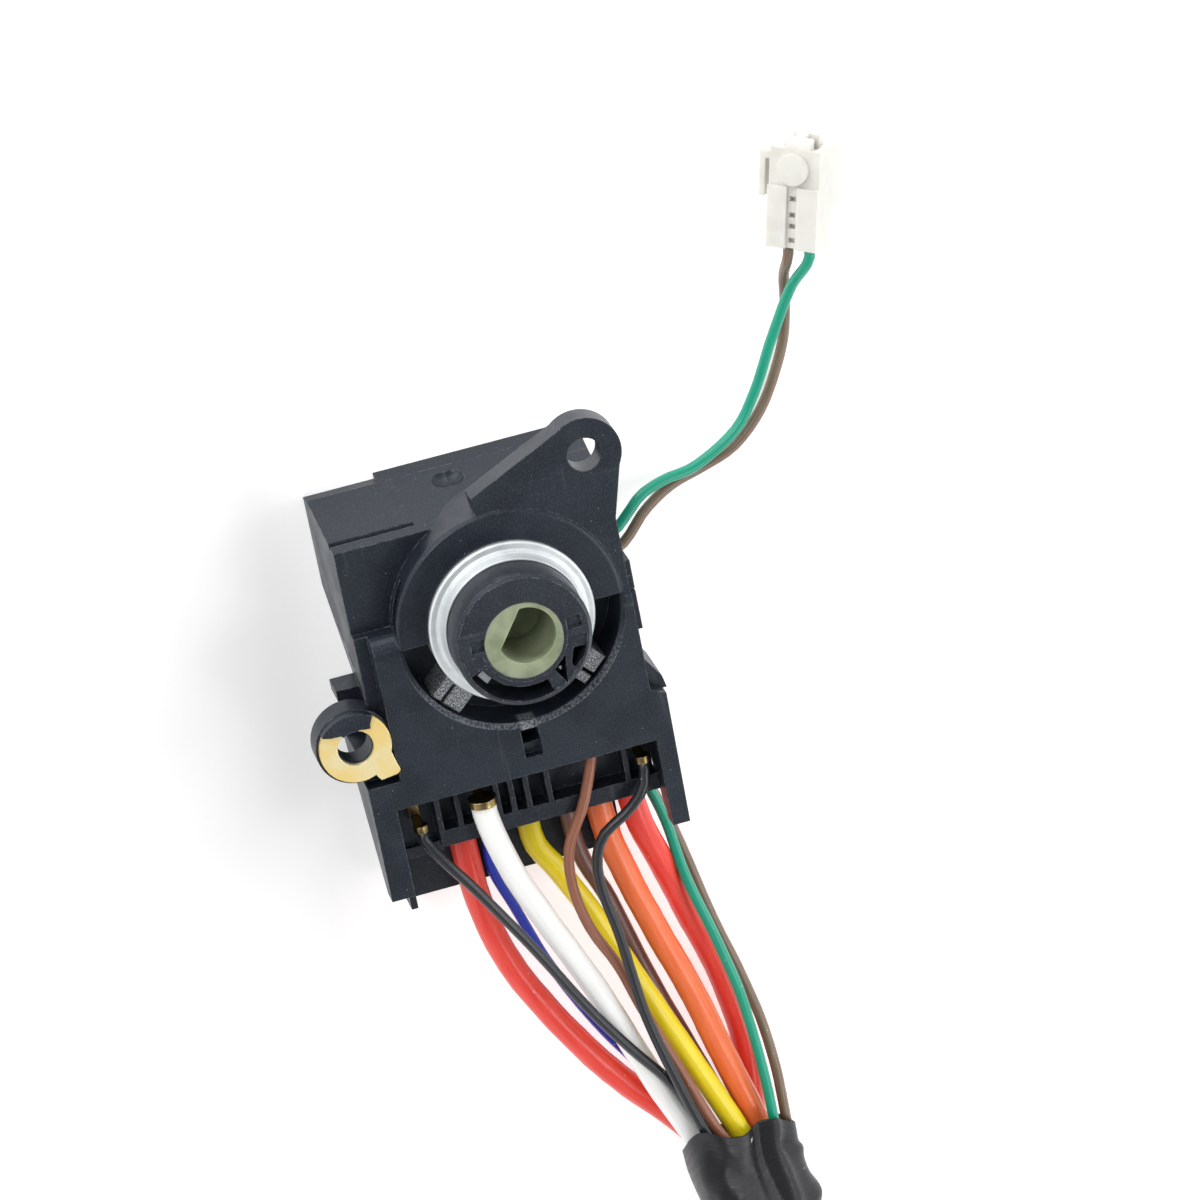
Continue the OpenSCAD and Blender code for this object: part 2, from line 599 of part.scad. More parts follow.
// Terminal block: wire bores, comb of ribs, rail and lip
module terminal_block() {
  rail_z = comb_z + rib_h;
  color("#17191d") difference() {
    union() {
      block([block_x[0], -block_drop, cover_t], [block_x[1], -block_top - seat_gap, comb_z]);
      for (x = comb_x)
        block([x - comb_t / 2, -rail_top, comb_z - eps], [x + comb_t / 2, -block_top - 1, rail_z]);
      block([comb_x[0] - comb_t / 2, -block_drop, comb_z - eps], [block_x[1], -rail_top, rail_z]);
      block([block_x[0], -block_drop - 1.6, comb_z - 2.4], [comb_x[0], -block_drop + eps, comb_z + 1]);
      block([block_x[0], -block_drop - lip_len, lip_z[0]], [lip_right, -block_drop + eps, lip_z[1]]);
      block([block_x[0], -block_drop - lip_len, lip_z[0]], [block_x[0] + 1, -block_drop + eps, rear_z + 1.5]);
    }
    for (w = rear_wires())
      along_y(w[1][0].x, rear_z, w[0] / 2 + wire_play, -block_drop - 2, -block_top + 1);
    block([green_route[0].x - 1.2, -block_drop - 1, cover_t + 0.6],
      [block_x[1] + 1, -block_top + 1, rear_z - 2.4]);
    // Sloped underside below the cover's edge
    along_x(-50, 50) polygon([[-cover_drop, cover_t - eps], [-block_drop - lip_len, lip_z[0]],
      [-block_drop - lip_len, cover_t - 2], [-cover_drop, cover_t - 2]]);
  }
}

// Wires that leave the rear row of bores: diameter and route
function rear_wires() = [[heavy_d, red_left_route], [signal_d, blue_route], [yellow_d, yellow_route],
  [middle_d, dark_brown_route], [heavy_d, orange_route], [heavy_d, red_right_route]];

// Crimp terminal on the comb plate, holding the end of a front wire
module front_terminal(route, d) {
  p = route[0];
  skin = 0.3;
  color("#d9d2bf") {
    difference() {
      along_y(p.x, p.z, d / 2 + skin, p.y - 0.5, p.y + 0.6);
      along_y(p.x, p.z, d / 2 + 0.03, p.y - 2, p.y + 0.3);
    }
    block([p.x - 0.6, p.y - 0.3, comb_z], [p.x + 0.6, p.y + 0.5, p.z - d / 2 - 0.1]);
    block([p.x - 0.8, p.y - 0.3, comb_z], [p.x + 0.8, -block_top - 0.3, comb_z + 0.5]);
  }
}

// Crimp terminal inside a bore of the rear row
module rear_terminal(route, d) {
  p = route[0];
  tip = -block_top - seat_gap;
  color("#cfc6ae") {
    along_y(p.x, p.z, d / 2, p.y, p.y + 4);
    block([p.x - 0.5, p.y + 4 - eps, p.z - 0.5], [p.x + 0.5, tip, p.z + 0.5]);
  }
}

// Torsion spring between the floor and the carrier
module return_spring() {
  d = 0.9;
  lift = d / 2 + 0.1;
  color("#8d9297") tube(helix(6.95, carrier_top + lift, floor_under - lift, 1.5, 16), d, 8);
}

// Bent leaf that rides on the carrier's rim
module detent_spring() {
  foot = right_w - wall - 0.05;
  nose = carrier_r + touch_gap;
  t = 0.4;
  color("#9aa0a5") translate([0, 0, carrier_z + 0.2]) linear_extrude(1.4) {
    polygon([[foot, -8], [foot - t, -8], [nose, -0.8], [nose, 0.8], [foot - t, 8], [foot, 8],
      [nose + t, 1], [nose + t, -1]]);
  }
}

// Key rotor: barrel, neck and square tail, with moulded pockets in its face
module rotor() {
  face = rotor_top;
  color("#26282d") difference() {
    union() {
      rotate_extrude() polygon([[0, carrier_top], [neck_r, carrier_top], [neck_r, bowl_floor + 0.3],
        [rotor_r, bowl_floor + 0.3], [rotor_r, face - 0.5], [rotor_r - 0.5, face], [0, face]]);
      translate([-tail_w / 2, -tail_w / 2, carrier_z]) cube([tail_w, tail_w, carrier_t + 1]);
    }
    translate([0, 0, face - insert_depth()]) cylinder(r = insert_r + 0.02, h = insert_depth() + 1);
    translate([0, 0, face - pocket_depth]) linear_extrude(pocket_depth + 1) {
      sector(insert_r + 1.4, rotor_r - 0.8, 203, 288);
      polygon([[3.5, -5.8], [5.4, -3.9], [5, -8.2]]);
      polygon([[6.8, -3.1], [8.6, -3.2], [7.7, -5], [6.5, -6.2], [6.1, -5.4]]);
    }
    translate([-7.7, 0, face - 0.6]) cube([2.5, 1.8, 1]);
    translate([6.4, -0.1, face - 0.6]) cube([2.2, 1.9, 1]);
    // Lower half of the face sits a little back
    translate([0, 0, face - 0.35]) linear_extrude(1) difference() {
      sector(insert_r + 0.6, rotor_r - 0.8, 186, 352);
      sector(0, insert_r + 0.6, 0, 360);
    }
    translate([pin_at.x, pin_at.y, face - pin_sunk]) cylinder(r = pin_r + 0.02, h = pin_l);
  }
}

// Length of the insert in the rotor
function insert_depth() = socket_depth + 2.3;

// Nylon insert with a D-shaped drive socket
module drive_insert() {
  color("#b9c09a") difference() {
    translate([0, 0, rotor_top - insert_depth()]) cylinder(r = insert_r, h = insert_depth());
    translate([socket_at.x, socket_at.y, rotor_top - socket_depth]) difference() {
      cylinder(r = socket_r, h = socket_depth + 1);
      rotate(145) translate([socket_flat, -10, -1]) cube([20, 20, socket_depth + 3]);
    }
  }
}

// Pin in the rotor's three-cornered pocket, and tongue in its long pocket
module rotor_pin() {
  color("#a7a79c") {
    translate([pin_at.x, pin_at.y, rotor_top - pin_sunk]) {
      cylinder(r = pin_r, h = pin_l);
      translate([0, 0, pin_l]) sphere(r = pin_r);
    }
    translate([0, 0, rotor_top - pocket_depth]) linear_extrude(pocket_depth - 1.2)
      sector(insert_r + 1.55, insert_r + 2.6, 207, 221);
  }
}

// Moulded disc that turns the contact bridges
module contact_carrier() {
  color("#d8d3c4") difference() {
    union() {
      translate([0, 0, carrier_z]) linear_extrude(carrier_t) difference() {
        circle(carrier_r);
        // Shallow notches for the leaf at each key position
        for (a = [-accessory_turn, 0, 50, start_turn])
          rotate(a) translate([carrier_r, -0.4]) square([0.6, 0.8], center = true);
        square(tail_w + 0.1, center = true);
      }
      translate([0, 0, carrier_z + 0.2]) linear_extrude(carrier_t - 0.4)
        sector(carrier_r - 0.5, carrier_r + 1, lug_angle - lug_half, lug_angle + lug_half);
      for (a = bridge_angles())
        rotate(a) translate([bridge_at, 0, carrier_z + 0.5]) cylinder(r = 2.4, h = carrier_t + boss_h - 0.5);
    }
    for (a = bridge_angles())
      rotate(a) translate([bridge_at, 0, carrier_z - 1]) cylinder(r = 1.6, h = spring_roof - carrier_z + 1);
  }
}

// Angles of the three sliding bridges at rest
function bridge_angles() = [90, 205, 325];

// Sliding bridge with rounded ends and a pip that holds its spring
module bridge(i) {
  half = 2.2;
  color("#d0a05a") rotate(bridge_angles()[i]) translate([bridge_at, 0, bridge_z]) {
    linear_extrude(contact_t) {
      square([3, 2 * half], center = true);
      for (s = [-1, 1])
        translate([0, s * half]) circle(1.5);
    }
    translate([0, 0, contact_t - eps]) cylinder(r = 0.8, h = 0.6);
  }
}

// Compression spring that presses a bridge on its tracks
module bridge_spring(i) {
  d = 0.4;
  z0 = bridge_z + contact_t + d / 2 + 0.02;
  z1 = spring_roof - d / 2 - 0.02;
  color("#9aa0a5") rotate(bridge_angles()[i]) translate([bridge_at, 0, 0])
    tube(helix(1.2, z0, z1, 4, 10), d, 6);
}

// Plug on the end of the trunk, laid along the trunk's last stretch
module plug_place() {
  n = len(trunk_route);
  d = unit(trunk_route[n - 1] - trunk_route[n - 2]);
  translate(trunk_route[n - 1]) rotate(atan2(d.x, -d.y)) children();
}

// Places of the plug's terminals across its mating face
function plug_holes() = [for (x = [-2.5:2.5], z = [-0.5:0.5]) [x * 5, z * 6]];

module harness_plug() {
  h = trunk_d;
  w = 34;
  color("#2b2e33") plug_place() difference() {
    union() {
      block([-w / 2, -plug_l, -h / 2], [w / 2, -8, h / 2]);
      block([-w / 2 + 2, -8 - eps, -h / 2 + 1], [w / 2 - 2, -4, h / 2 - 1]);
      translate([0, -4 - eps, 0]) rotate([-90, 0, 0]) cylinder(r = h / 2 - 0.5, h = 4 + eps);
      for (s = [-1, 1])
        translate([s * (w / 2 + 0.6), -15, 0]) cube([1.3, 10, 5], center = true);
      block([-4, -plug_l + 4, h / 2 - eps], [4, -12, h / 2 + 2]);
      block([-3, -plug_l + 5, h / 2 + 2 - eps], [3, -plug_l + 8, h / 2 + 3]);
    }
    for (p = plug_holes())
      translate([p.x - 1.5, -plug_l - 1, p.y - 1.5]) cube([3, 14, 3]);
  }
}

// Box terminals in the plug's cavities
module harness_contacts() {
  skin = 0.4;
  color("#cfc6ae") plug_place() for (p = plug_holes())
    translate([p.x, -plug_l + 1, p.y]) difference() {
      translate([-1.4, 0, -1.4]) cube([2.8, 12, 2.8]);
      translate([-1.4 + skin, -1, -1.4 + skin]) cube([2.8 - 2 * skin, 9, 2.8 - 2 * skin]);
    }
}

// Frame of the white plug: Y runs from the wires to the mating end, Z out of the front face
module pig_place() {
  translate(pig_at) rotate([0, 0, pig_yaw]) rotate([0, -pig_roll, 0]) children();
}

module pigtail_plug() {
  half = pig_w / 2;
  color("#f2f0ea") pig_place() difference() {
    union() {
      block([-half, 0, -pig_t], [half, pig_l, -0.6]);
      block([-half, pig_head_y, -pig_head_t], [half, pig_l, -pig_t + eps]);
      block([-half, 0, -0.6 - eps], [-0.85, pig_l - 5.6, 0]);
      block([0.75, 0, -0.6 - eps], [half, pig_l - 5.6, 0]);
      translate([-0.1, pig_l - 3, -0.6 - eps]) cylinder(r = 2.4, h = 0.7);
      // Latch bump on the mating end
      intersection() {
        translate([0.4, pig_l - 0.6, -3]) rotate([90, 0, 90]) cylinder(r = 2.4, h = 4, center = true);
        block([-half, pig_l - 1, -pig_t], [half, pig_l + 3, 0]);
      }
      // Lever along the left side, joined at the mating end
      block([-half - 1.7, pig_l - 7.6, -2.6], [-half - 0.7, pig_l - 0.8, -0.8]);
      block([-half - 1.7, pig_l - 2, -2.6], [-half + eps, pig_l - 0.8, -0.8]);
    }
    for (y = [0.8, 2.9, 4.6, 7])
      translate([-0.5, y, -1.6]) cube([0.9, 0.7, 2]);
    for (x = pig_wire_x)
      translate([x - 0.9, 3, pig_wire_z - 0.9]) cube([1.8, pig_l, 1.8]);
  }
}

// Two box terminals inside the white plug
module pigtail_contacts() {
  color("#cfc6ae") pig_place() for (x = pig_wire_x)
    translate([x, 3, pig_wire_z]) difference() {
      translate([-0.85, 0, -0.85]) cube([1.7, 9, 1.7]);
      translate([-0.5, 3, -0.5]) cube([1, 9, 1]);
    }
}

// Wires of the tail
module wire_black_left() { color("#33363b") tube(black_left_route, signal_d, 8); }
module wire_red_left() { color("#e2453c") tube(red_left_route, heavy_d, 8); }
module wire_blue() { color("#1a3fae") tube(blue_route, signal_d, 8); }
module wire_white() { color("#f1f1ee") tube(white_route, white_d, 8); }
module wire_yellow() { color("#e9da2c") tube(yellow_route, yellow_d, 8); }
module wire_brown() { color("#8a5a45") tube(brown_route, signal_d, 8); }
module wire_dark_brown() { color("#6d4c47") tube(dark_brown_route, middle_d, 8); }
module wire_black_right() { color("#2a2d33") tube(black_right_route, signal_d, 8); }
module wire_orange() { color("#f4794f") tube(orange_route, heavy_d, 8); }
module wire_red_right() { color("#e8483f") tube(red_right_route, heavy_d, 8); }
module wire_green() { color("#0f9f80") tube(green_route, signal_d, 8); }
module wire_tan() { color("#7d6a5a") tube(tan_route, signal_d, 8); }
module harness_trunk() { color("#303136") tube(trunk_route, trunk_d, 12); }
module pigtail_green() { color("#0f9f80") tube(pig_green_route, signal_d, 8); }
module pigtail_tan() { color("#7d6a5a") tube(pig_tan_route, signal_d, 8); }

front_housing();
rear_cover();
lock_sleeve();
ground_ring();
contact_base();
battery_contact();
start_contact();
accessory_contact();
ignition_contact();
terminal_block();
front_terminal(black_left_route, signal_d);  // front_terminal_black_left
front_terminal(white_route, white_d);  // front_terminal_white
front_terminal(brown_route, signal_d);  // front_terminal_brown
front_terminal(black_right_route, signal_d);  // front_terminal_black_right
rear_terminal(red_left_route, heavy_d);  // rear_terminal_red_left
rear_terminal(blue_route, signal_d);  // rear_terminal_blue
rear_terminal(yellow_route, yellow_d);  // rear_terminal_yellow
rear_terminal(dark_brown_route, middle_d);  // rear_terminal_dark_brown
rear_terminal(orange_route, heavy_d);  // rear_terminal_orange
rear_terminal(red_right_route, heavy_d);  // rear_terminal_red_right
return_spring();
detent_spring();
rotor();
drive_insert();
rotor_pin();
contact_carrier();
bridge(0);  // bridge_1
bridge(1);  // bridge_2
bridge(2);  // bridge_3
bridge_spring(0);  // bridge_spring_1
bridge_spring(1);  // bridge_spring_2
bridge_spring(2);  // bridge_spring_3
wire_black_left();
wire_red_left();
wire_blue();
wire_white();
wire_yellow();
wire_brown();
wire_dark_brown();
wire_black_right();
wire_orange();
wire_red_right();
wire_green();
wire_tan();
harness_trunk();
harness_plug();
harness_contacts();
pigtail_green();
pigtail_tan();
pigtail_plug();
pigtail_contacts();
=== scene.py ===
"""Column ignition switch: finishes, wires, loom tape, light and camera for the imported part.

Sizes and routes of the wires and the loom are millimetres in the part's own frame: the lock's axis is +Z
through the origin, and the back cover lies on z = 0. Sizes in the finishes and the places of the light and
the camera are metres.
"""

import bpy
import numpy as np
from mathutils import Matrix


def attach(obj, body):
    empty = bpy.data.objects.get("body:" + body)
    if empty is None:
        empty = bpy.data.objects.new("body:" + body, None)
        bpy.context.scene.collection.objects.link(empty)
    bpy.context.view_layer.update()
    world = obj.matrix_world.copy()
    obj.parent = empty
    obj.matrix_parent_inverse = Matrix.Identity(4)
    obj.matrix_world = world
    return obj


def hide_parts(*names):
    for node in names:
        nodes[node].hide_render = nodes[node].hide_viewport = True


MM = 0.001
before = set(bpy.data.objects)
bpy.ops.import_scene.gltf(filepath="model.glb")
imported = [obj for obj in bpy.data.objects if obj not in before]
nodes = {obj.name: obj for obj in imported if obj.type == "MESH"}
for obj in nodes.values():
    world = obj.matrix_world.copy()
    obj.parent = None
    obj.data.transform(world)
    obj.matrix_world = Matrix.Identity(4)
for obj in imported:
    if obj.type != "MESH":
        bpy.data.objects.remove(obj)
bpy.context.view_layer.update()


# Surfaces from arrays

def mesh_from_grid(name, points, closed_round=True, caps=True, uv=None):
    """Mesh over an (rows, sides, 3) grid in metres: each cell is a quad, the sides wrap when closed_round,
    and the first and last rows get a flat cap each."""
    rows, sides = points.shape[:2]
    index = np.arange(rows * sides).reshape(rows, sides)
    right = np.roll(index, -1, axis=1)
    if not closed_round:
        index, right = index[:, :-1], right[:, :-1]
    quads = np.stack([index[:-1], right[:-1], right[1:], index[1:]], axis=-1).reshape(-1, 4)
    faces = quads.tolist()
    if caps:
        faces.append(np.arange(sides)[::-1].tolist())
        faces.append((np.arange(sides) + (rows - 1) * sides).tolist())
    mesh = bpy.data.meshes.new(name)
    mesh.from_pydata(points.reshape(-1, 3).tolist(), [], faces)
    if uv is not None:
        layer = mesh.uv_layers.new(name="along")
        loops = np.empty(len(mesh.loops), dtype=np.int32)
        mesh.loops.foreach_get("vertex_index", loops)
        layer.data.foreach_set("uv", uv.reshape(-1, 2)[loops].ravel().astype(np.float32))
    mesh.polygons.foreach_set("use_smooth", np.ones(len(mesh.polygons), dtype=bool))
    mesh.validate()
    mesh.update()
    piece = bpy.data.objects.new(name, mesh)
    bpy.context.collection.objects.link(piece)
    return piece


CURVE_SAMPLES = 1200


def distance_along(line):
    """Distance from the first point to each point of a line."""
    return np.concatenate([[0], np.cumsum(np.linalg.norm(np.diff(line, axis=0), axis=1))])


def flowing_line(route, count):
    """Centripetal Catmull-Rom curve through the route's points, sampled at count places evenly along its
    length. Mirrored end points make it leave straight along its first and last stretch."""
    p = np.asarray(route, dtype=float)
    p = np.vstack([2 * p[0] - p[1], p, 2 * p[-1] - p[-2]])
    step = np.sqrt(np.linalg.norm(np.diff(p, axis=0), axis=1))
    t = np.concatenate([[0], np.cumsum(step)])
    u = np.linspace(t[1], t[-2], CURVE_SAMPLES)
    k = np.clip(np.searchsorted(t, u, side="right") - 1, 1, len(p) - 3)

    def blend(a, b, ta, tb):
        """Straight mix of two points as the curve's parameter goes from ta to tb."""
        w = ((u - ta) / (tb - ta))[:, None]
        return a * (1 - w) + b * w

    p0, p1, p2, p3 = p[k - 1], p[k], p[k + 1], p[k + 2]
    t0, t1, t2, t3 = t[k - 1], t[k], t[k + 1], t[k + 2]
    a1, a2, a3 = blend(p0, p1, t0, t1), blend(p1, p2, t1, t2), blend(p2, p3, t2, t3)
    b1, b2 = blend(a1, a2, t0, t2), blend(a2, a3, t1, t3)
    line = blend(b1, b2, t1, t2)
    far = distance_along(line)
    places = np.linspace(0, far[-1], count)
    return np.stack([np.interp(places, far, line[:, i]) for i in range(3)], axis=1)


def frames_along(line):
    """Unit tangent, side and rise at each point of a line: the side is square to the tangent and to Z."""
    tangent = np.gradient(line, axis=0)
    tangent /= np.linalg.norm(tangent, axis=1)[:, None]
    side = np.cross(tangent, [0.0, 0.0, 1.0])
    side /= np.linalg.norm(side, axis=1)[:, None]
    return tangent, side, np.cross(side, tangent)


def ripples(u, v, waves):
    """Sum of sine waves over two parameters: each wave is (height, turns along u, turns along v, phase)."""
    return sum(h * np.sin(2 * np.pi * (fu * u + fv * v) + phase) for h, fu, fv, phase in waves)


def smooth_step(x, low, high):
    """Cubic ease from 0 at low to 1 at high."""
    t = np.clip((x - low) / (high - low), 0, 1)
    return t * t * (3 - 2 * t)


def bell(v, middle, width):
    """Bell curve round a tube: exp of minus the squared distance from the middle in turns, over the width."""
    far = (v - middle + 0.5) % 1.0 - 0.5
    return np.exp(-(far / width) ** 2)


def tube_along(name, line, radius, sides, slide=None):
    """Profile carried along a line: point = line + radius(u, v) * (cos v * side + sin v * rise), with u the
    distance along the line in mm and v the turn round it. slide(u, v) then moves it back along the line."""
    tangent, side, rise = frames_along(line)
    turn = np.linspace(0, 1, sides, endpoint=False)
    u, v = np.meshgrid(distance_along(line), turn, indexing="ij")
    a = 2 * np.pi * v[..., None]
    spoke = np.cos(a) * side[:, None] + np.sin(a) * rise[:, None]
    points = line[:, None] + radius(u, v)[..., None] * spoke
    if slide is not None:
        points = points - slide(u, v)[..., None] * tangent[:, None]
    return mesh_from_grid(name, points * MM, uv=np.stack([u, v], axis=-1))


# Nodes

FLOAT, VECTOR = "NodeSocketFloat", "NodeSocketVector"


def fill(tree, socket, value):
    """Sets a socket to a value, or joins it to another socket."""
    if isinstance(value, bpy.types.NodeSocket):
        tree.links.new(value, socket)
    else:
        socket.default_value = value


def add(tree, kind, settings=None, **sockets):
    """New node with its settings and its named sockets; i0 and i1 are the first and second socket."""
    node = tree.nodes.new(kind)
    for key, value in (settings or {}).items():
        setattr(node, key, value)
    for key, value in sockets.items():
        fill(tree, node.inputs[{"i0": 0, "i1": 1}.get(key, key)], value)
    return node


def object_coords(tree):
    """Object coordinates: the part's own frame at rest."""
    return add(tree, "ShaderNodeTexCoord").outputs["Object"]


def math_node(tree, operation, a, b=0.0, clamp=False):
    """Output of a Math node."""
    return add(tree, "ShaderNodeMath", {"operation": operation, "use_clamp": clamp}, i0=a, i1=b).outputs[0]


def times(tree, a, b):
    """Product of two values."""
    return math_node(tree, "MULTIPLY", a, b)


def vector_math(tree, operation, **sockets):
    """Vector Math node."""
    return add(tree, "ShaderNodeVectorMath", {"operation": operation}, **sockets)


def noise(tree, coords, scale, detail, roughness, distortion=0.0):
    """Value of a noise texture."""
    node = add(tree, "ShaderNodeTexNoise", Vector=coords, Scale=scale, Detail=detail, Roughness=roughness,
               Distortion=distortion)
    return node.outputs["Fac"]


def ramp(tree, value, low, high):
    """Value mapped from low..high to 0..1 with a smooth step."""
    node = add(tree, "ShaderNodeMapRange", {"interpolation_type": "SMOOTHSTEP", "clamp": True}, Value=value)
    node.inputs["From Min"].default_value = low
    node.inputs["From Max"].default_value = high
    return node.outputs["Result"]


def spread(tree, value, low, high):
    """Value mapped from 0..1 to low..high in a straight line."""
    node = add(tree, "ShaderNodeMapRange", Value=value)
    node.inputs["To Min"].default_value = low
    node.inputs["To Max"].default_value = high
    return node.outputs["Result"]


def mix(tree, factor, a, b):
    """Colour mix of two colours or sockets."""
    node = add(tree, "ShaderNodeMix", {"data_type": "RGBA"}, Factor=factor)
    for socket, value in ((node.inputs[6], a), (node.inputs[7], b)):
        fill(tree, socket, (*value, 1.0) if isinstance(value, tuple) else value)
    return node.outputs[2]


def srgb(code):
    """Linear colour from a six-digit hex code."""
    c = np.array([int(code[i:i + 2], 16) for i in (0, 2, 4)]) / 255
    return tuple(np.where(c <= 0.04045, c / 12.92, ((c + 0.055) / 1.055) ** 2.4).tolist())


# Shared effects as shader node groups

def new_group(name, inputs, outputs):
    """Empty shader node group: its float inputs are given as (name, default), its outputs as (name, kind)."""
    group = bpy.data.node_groups.new(name, "ShaderNodeTree")
    for label, value in inputs:
        group.interface.new_socket(label, in_out="INPUT", socket_type=FLOAT).default_value = value
    for label, kind in outputs:
        group.interface.new_socket(label, in_out="OUTPUT", socket_type=kind)
    return group, group.nodes.new("NodeGroupInput").outputs, group.nodes.new("NodeGroupOutput").inputs


def make_moulded_grain():
    """Moulded skin: a fine spark-eroded grain over slow shrink waves as a height, and cloudy patches and a
    fine mottle as masks."""
    group, given, out = new_group("moulded_grain", [("Grain", 9000.0), ("Waves", 160.0)],
                                  [("Height", FLOAT), ("Cloud", FLOAT), ("Mottle", FLOAT)])
    coords = object_coords(group)
    fine = noise(group, coords, given["Grain"], detail=2.0, roughness=0.6)
    slow = noise(group, coords, given["Waves"], detail=3.0, roughness=0.55)
    height = math_node(group, "ADD", times(group, fine, 0.45), times(group, slow, 0.8))
    group.links.new(height, out["Height"])
    group.links.new(ramp(group, slow, 0.35, 0.65), out["Cloud"])
    group.links.new(ramp(group, fine, 0.46, 0.74), out["Mottle"])
    return group


def make_pale_specks():
    """Dust and moulding specks: small round Voronoi spots, kept where the cell's own random value passes a
    share."""
    group, given, out = new_group("pale_specks", [("Scale", 900.0), ("Size", 0.12), ("Share", 0.6)],
                                  [("Mask", FLOAT)])
    coords = object_coords(group)
    cells = add(group, "ShaderNodeTexVoronoi", {"feature": "F1"}, Vector=coords, Scale=given["Scale"])
    spot = math_node(group, "LESS_THAN", cells.outputs["Distance"], given["Size"])
    pick = add(group, "ShaderNodeSeparateColor", Color=cells.outputs["Color"]).outputs["Red"]
    keep = math_node(group, "GREATER_THAN", pick, given["Share"])
    group.links.new(times(group, spot, keep), out["Mask"])
    return group


def make_edge_mask():
    """Edges and rims: how far the rounded normal leans from the flat one, broken up by noise, and that
    rounded normal itself."""
    group, given, out = new_group("edge_mask", [("Radius", 0.00025), ("Breakup", 900.0)],
                                  [("Edge", FLOAT), ("Normal", VECTOR)])
    rounded = add(group, "ShaderNodeBevel", {"samples": 4}, Radius=given["Radius"]).outputs["Normal"]
    flat = add(group, "ShaderNodeNewGeometry").outputs["Normal"]
    alike = vector_math(group, "DOT_PRODUCT", i0=rounded, i1=flat).outputs["Value"]
    edge = ramp(group, math_node(group, "SUBTRACT", 1.0, alike), 0.02, 0.16)
    patches = noise(group, object_coords(group), given["Breakup"], detail=4.0, roughness=0.65)
    group.links.new(times(group, edge, ramp(group, patches, 0.42, 0.62)), out["Edge"])
    group.links.new(rounded, out["Normal"])
    return group


def make_fine_scratches():
    """Handling marks: thin broken lines from two stretched noises that cross, as a mask."""
    group, given, out = new_group("fine_scratches", [("Scale", 300.0)], [("Mask", FLOAT)])
    coords = object_coords(group)
    masks = []
    for turn, stretch in (((0.3, 0.2, 0.7), (1.0, 0.06, 1.0)), ((1.1, 0.4, 2.2), (0.06, 1.0, 1.0))):
        laid = add(group, "ShaderNodeMapping", Vector=coords, Rotation=turn, Scale=stretch).outputs["Vector"]
        masks.append(ramp(group, noise(group, laid, given["Scale"], detail=3.0, roughness=0.7), 0.64, 0.70))
    group.links.new(math_node(group, "MAXIMUM", *masks), out["Mask"])
    return group


# The edge mask marks real wear on the plastics, and painted shade and glints on the ring and terminals
GRAIN = make_moulded_grain()
SPECKS = make_pale_specks()
EDGE_MASK = make_edge_mask()
SCRATCH = make_fine_scratches()


def place(tree, group, **values):
    """Outputs of a node group placed in a material with its own values."""
    return add(tree, "ShaderNodeGroup", {"node_tree": group}, **values).outputs


# Materials

# Pale tone of rubbed black plastic
PALE = "8d9096"
# Share of the worn tone in a plastic's mottle, and the tint of its reflection
MOTTLE = 0.07
COOL_SHEEN = (0.82, 0.89, 1.0, 1.0)
# The sleeve's feet lie outside this radius, with a border twice FOOT_SOFT wide
FOOT_FROM, FOOT_SOFT = 0.01235, 0.0001
# Rubbed rim of the bowl: inner and outer radius, lowest z and highest y
BOWL_RIM = (0.0160, 0.0170, 0.0191, -0.0040)
# Width of its soft limits, of its fade along y, and its share of the worn tone
RIM_SOFT, RIM_FADE, RIM_RUB = 0.0001, 0.006, 0.5
# Rubbed patch above the slot and a crumb on the tape: centre and half size
SLOT_SCUFF = ((-0.0006, -0.0165, 0.0186), (0.0013, 0.0021, 0.0022))
TAPE_CRUMB = ((0.0207, -0.0951, 0.0165), (0.00035, 0.00035, 0.003))
# Scale of the noise that breaks up a rubbed place
RUB_SCALE = 2600.0


def new_material(name):
    """Material with its own Principled shader; returns the material, its tree and the shader."""
    material = bpy.data.materials.new(name)
    material.use_nodes = True
    tree = material.node_tree
    return material, tree, tree.nodes["Principled BSDF"]


def give_skin(tree, shader, colour, roughness, height, strength, depth, normal=None):
    """Joins a colour, a roughness and a bump to the shader; the bump lies on the given normal, if any."""
    relief = add(tree, "ShaderNodeBump", Height=height, Strength=strength, Distance=depth)
    if normal is not None:
        tree.links.new(normal, relief.inputs["Normal"])
    tree.links.new(colour, shader.inputs["Base Color"])
    tree.links.new(roughness, shader.inputs["Roughness"])
    tree.links.new(relief.outputs["Normal"], shader.inputs["Normal"])


def scuffed_patch(tree, centre, half):
    """Mask of a rubbed patch: 1 inside a box round the centre, broken up by a fine noise."""
    coords = object_coords(tree)
    away = vector_math(tree, "SUBTRACT", i0=coords, i1=centre).outputs["Vector"]
    shares = vector_math(tree, "DIVIDE", i0=away, i1=half).outputs["Vector"]
    sides = vector_math(tree, "ABSOLUTE", i0=shares).outputs["Vector"]
    split = add(tree, "ShaderNodeSeparateXYZ", Vector=sides).outputs
    far = math_node(tree, "MAXIMUM", split["X"], split["Y"])
    far = math_node(tree, "MAXIMUM", far, split["Z"])
    inside = math_node(tree, "SUBTRACT", 1.0, ramp(tree, far, 0.7, 1.1))
    patches = noise(tree, coords, RUB_SCALE, detail=3.0, roughness=0.7)
    return times(tree, inside, ramp(tree, patches, 0.38, 0.62))


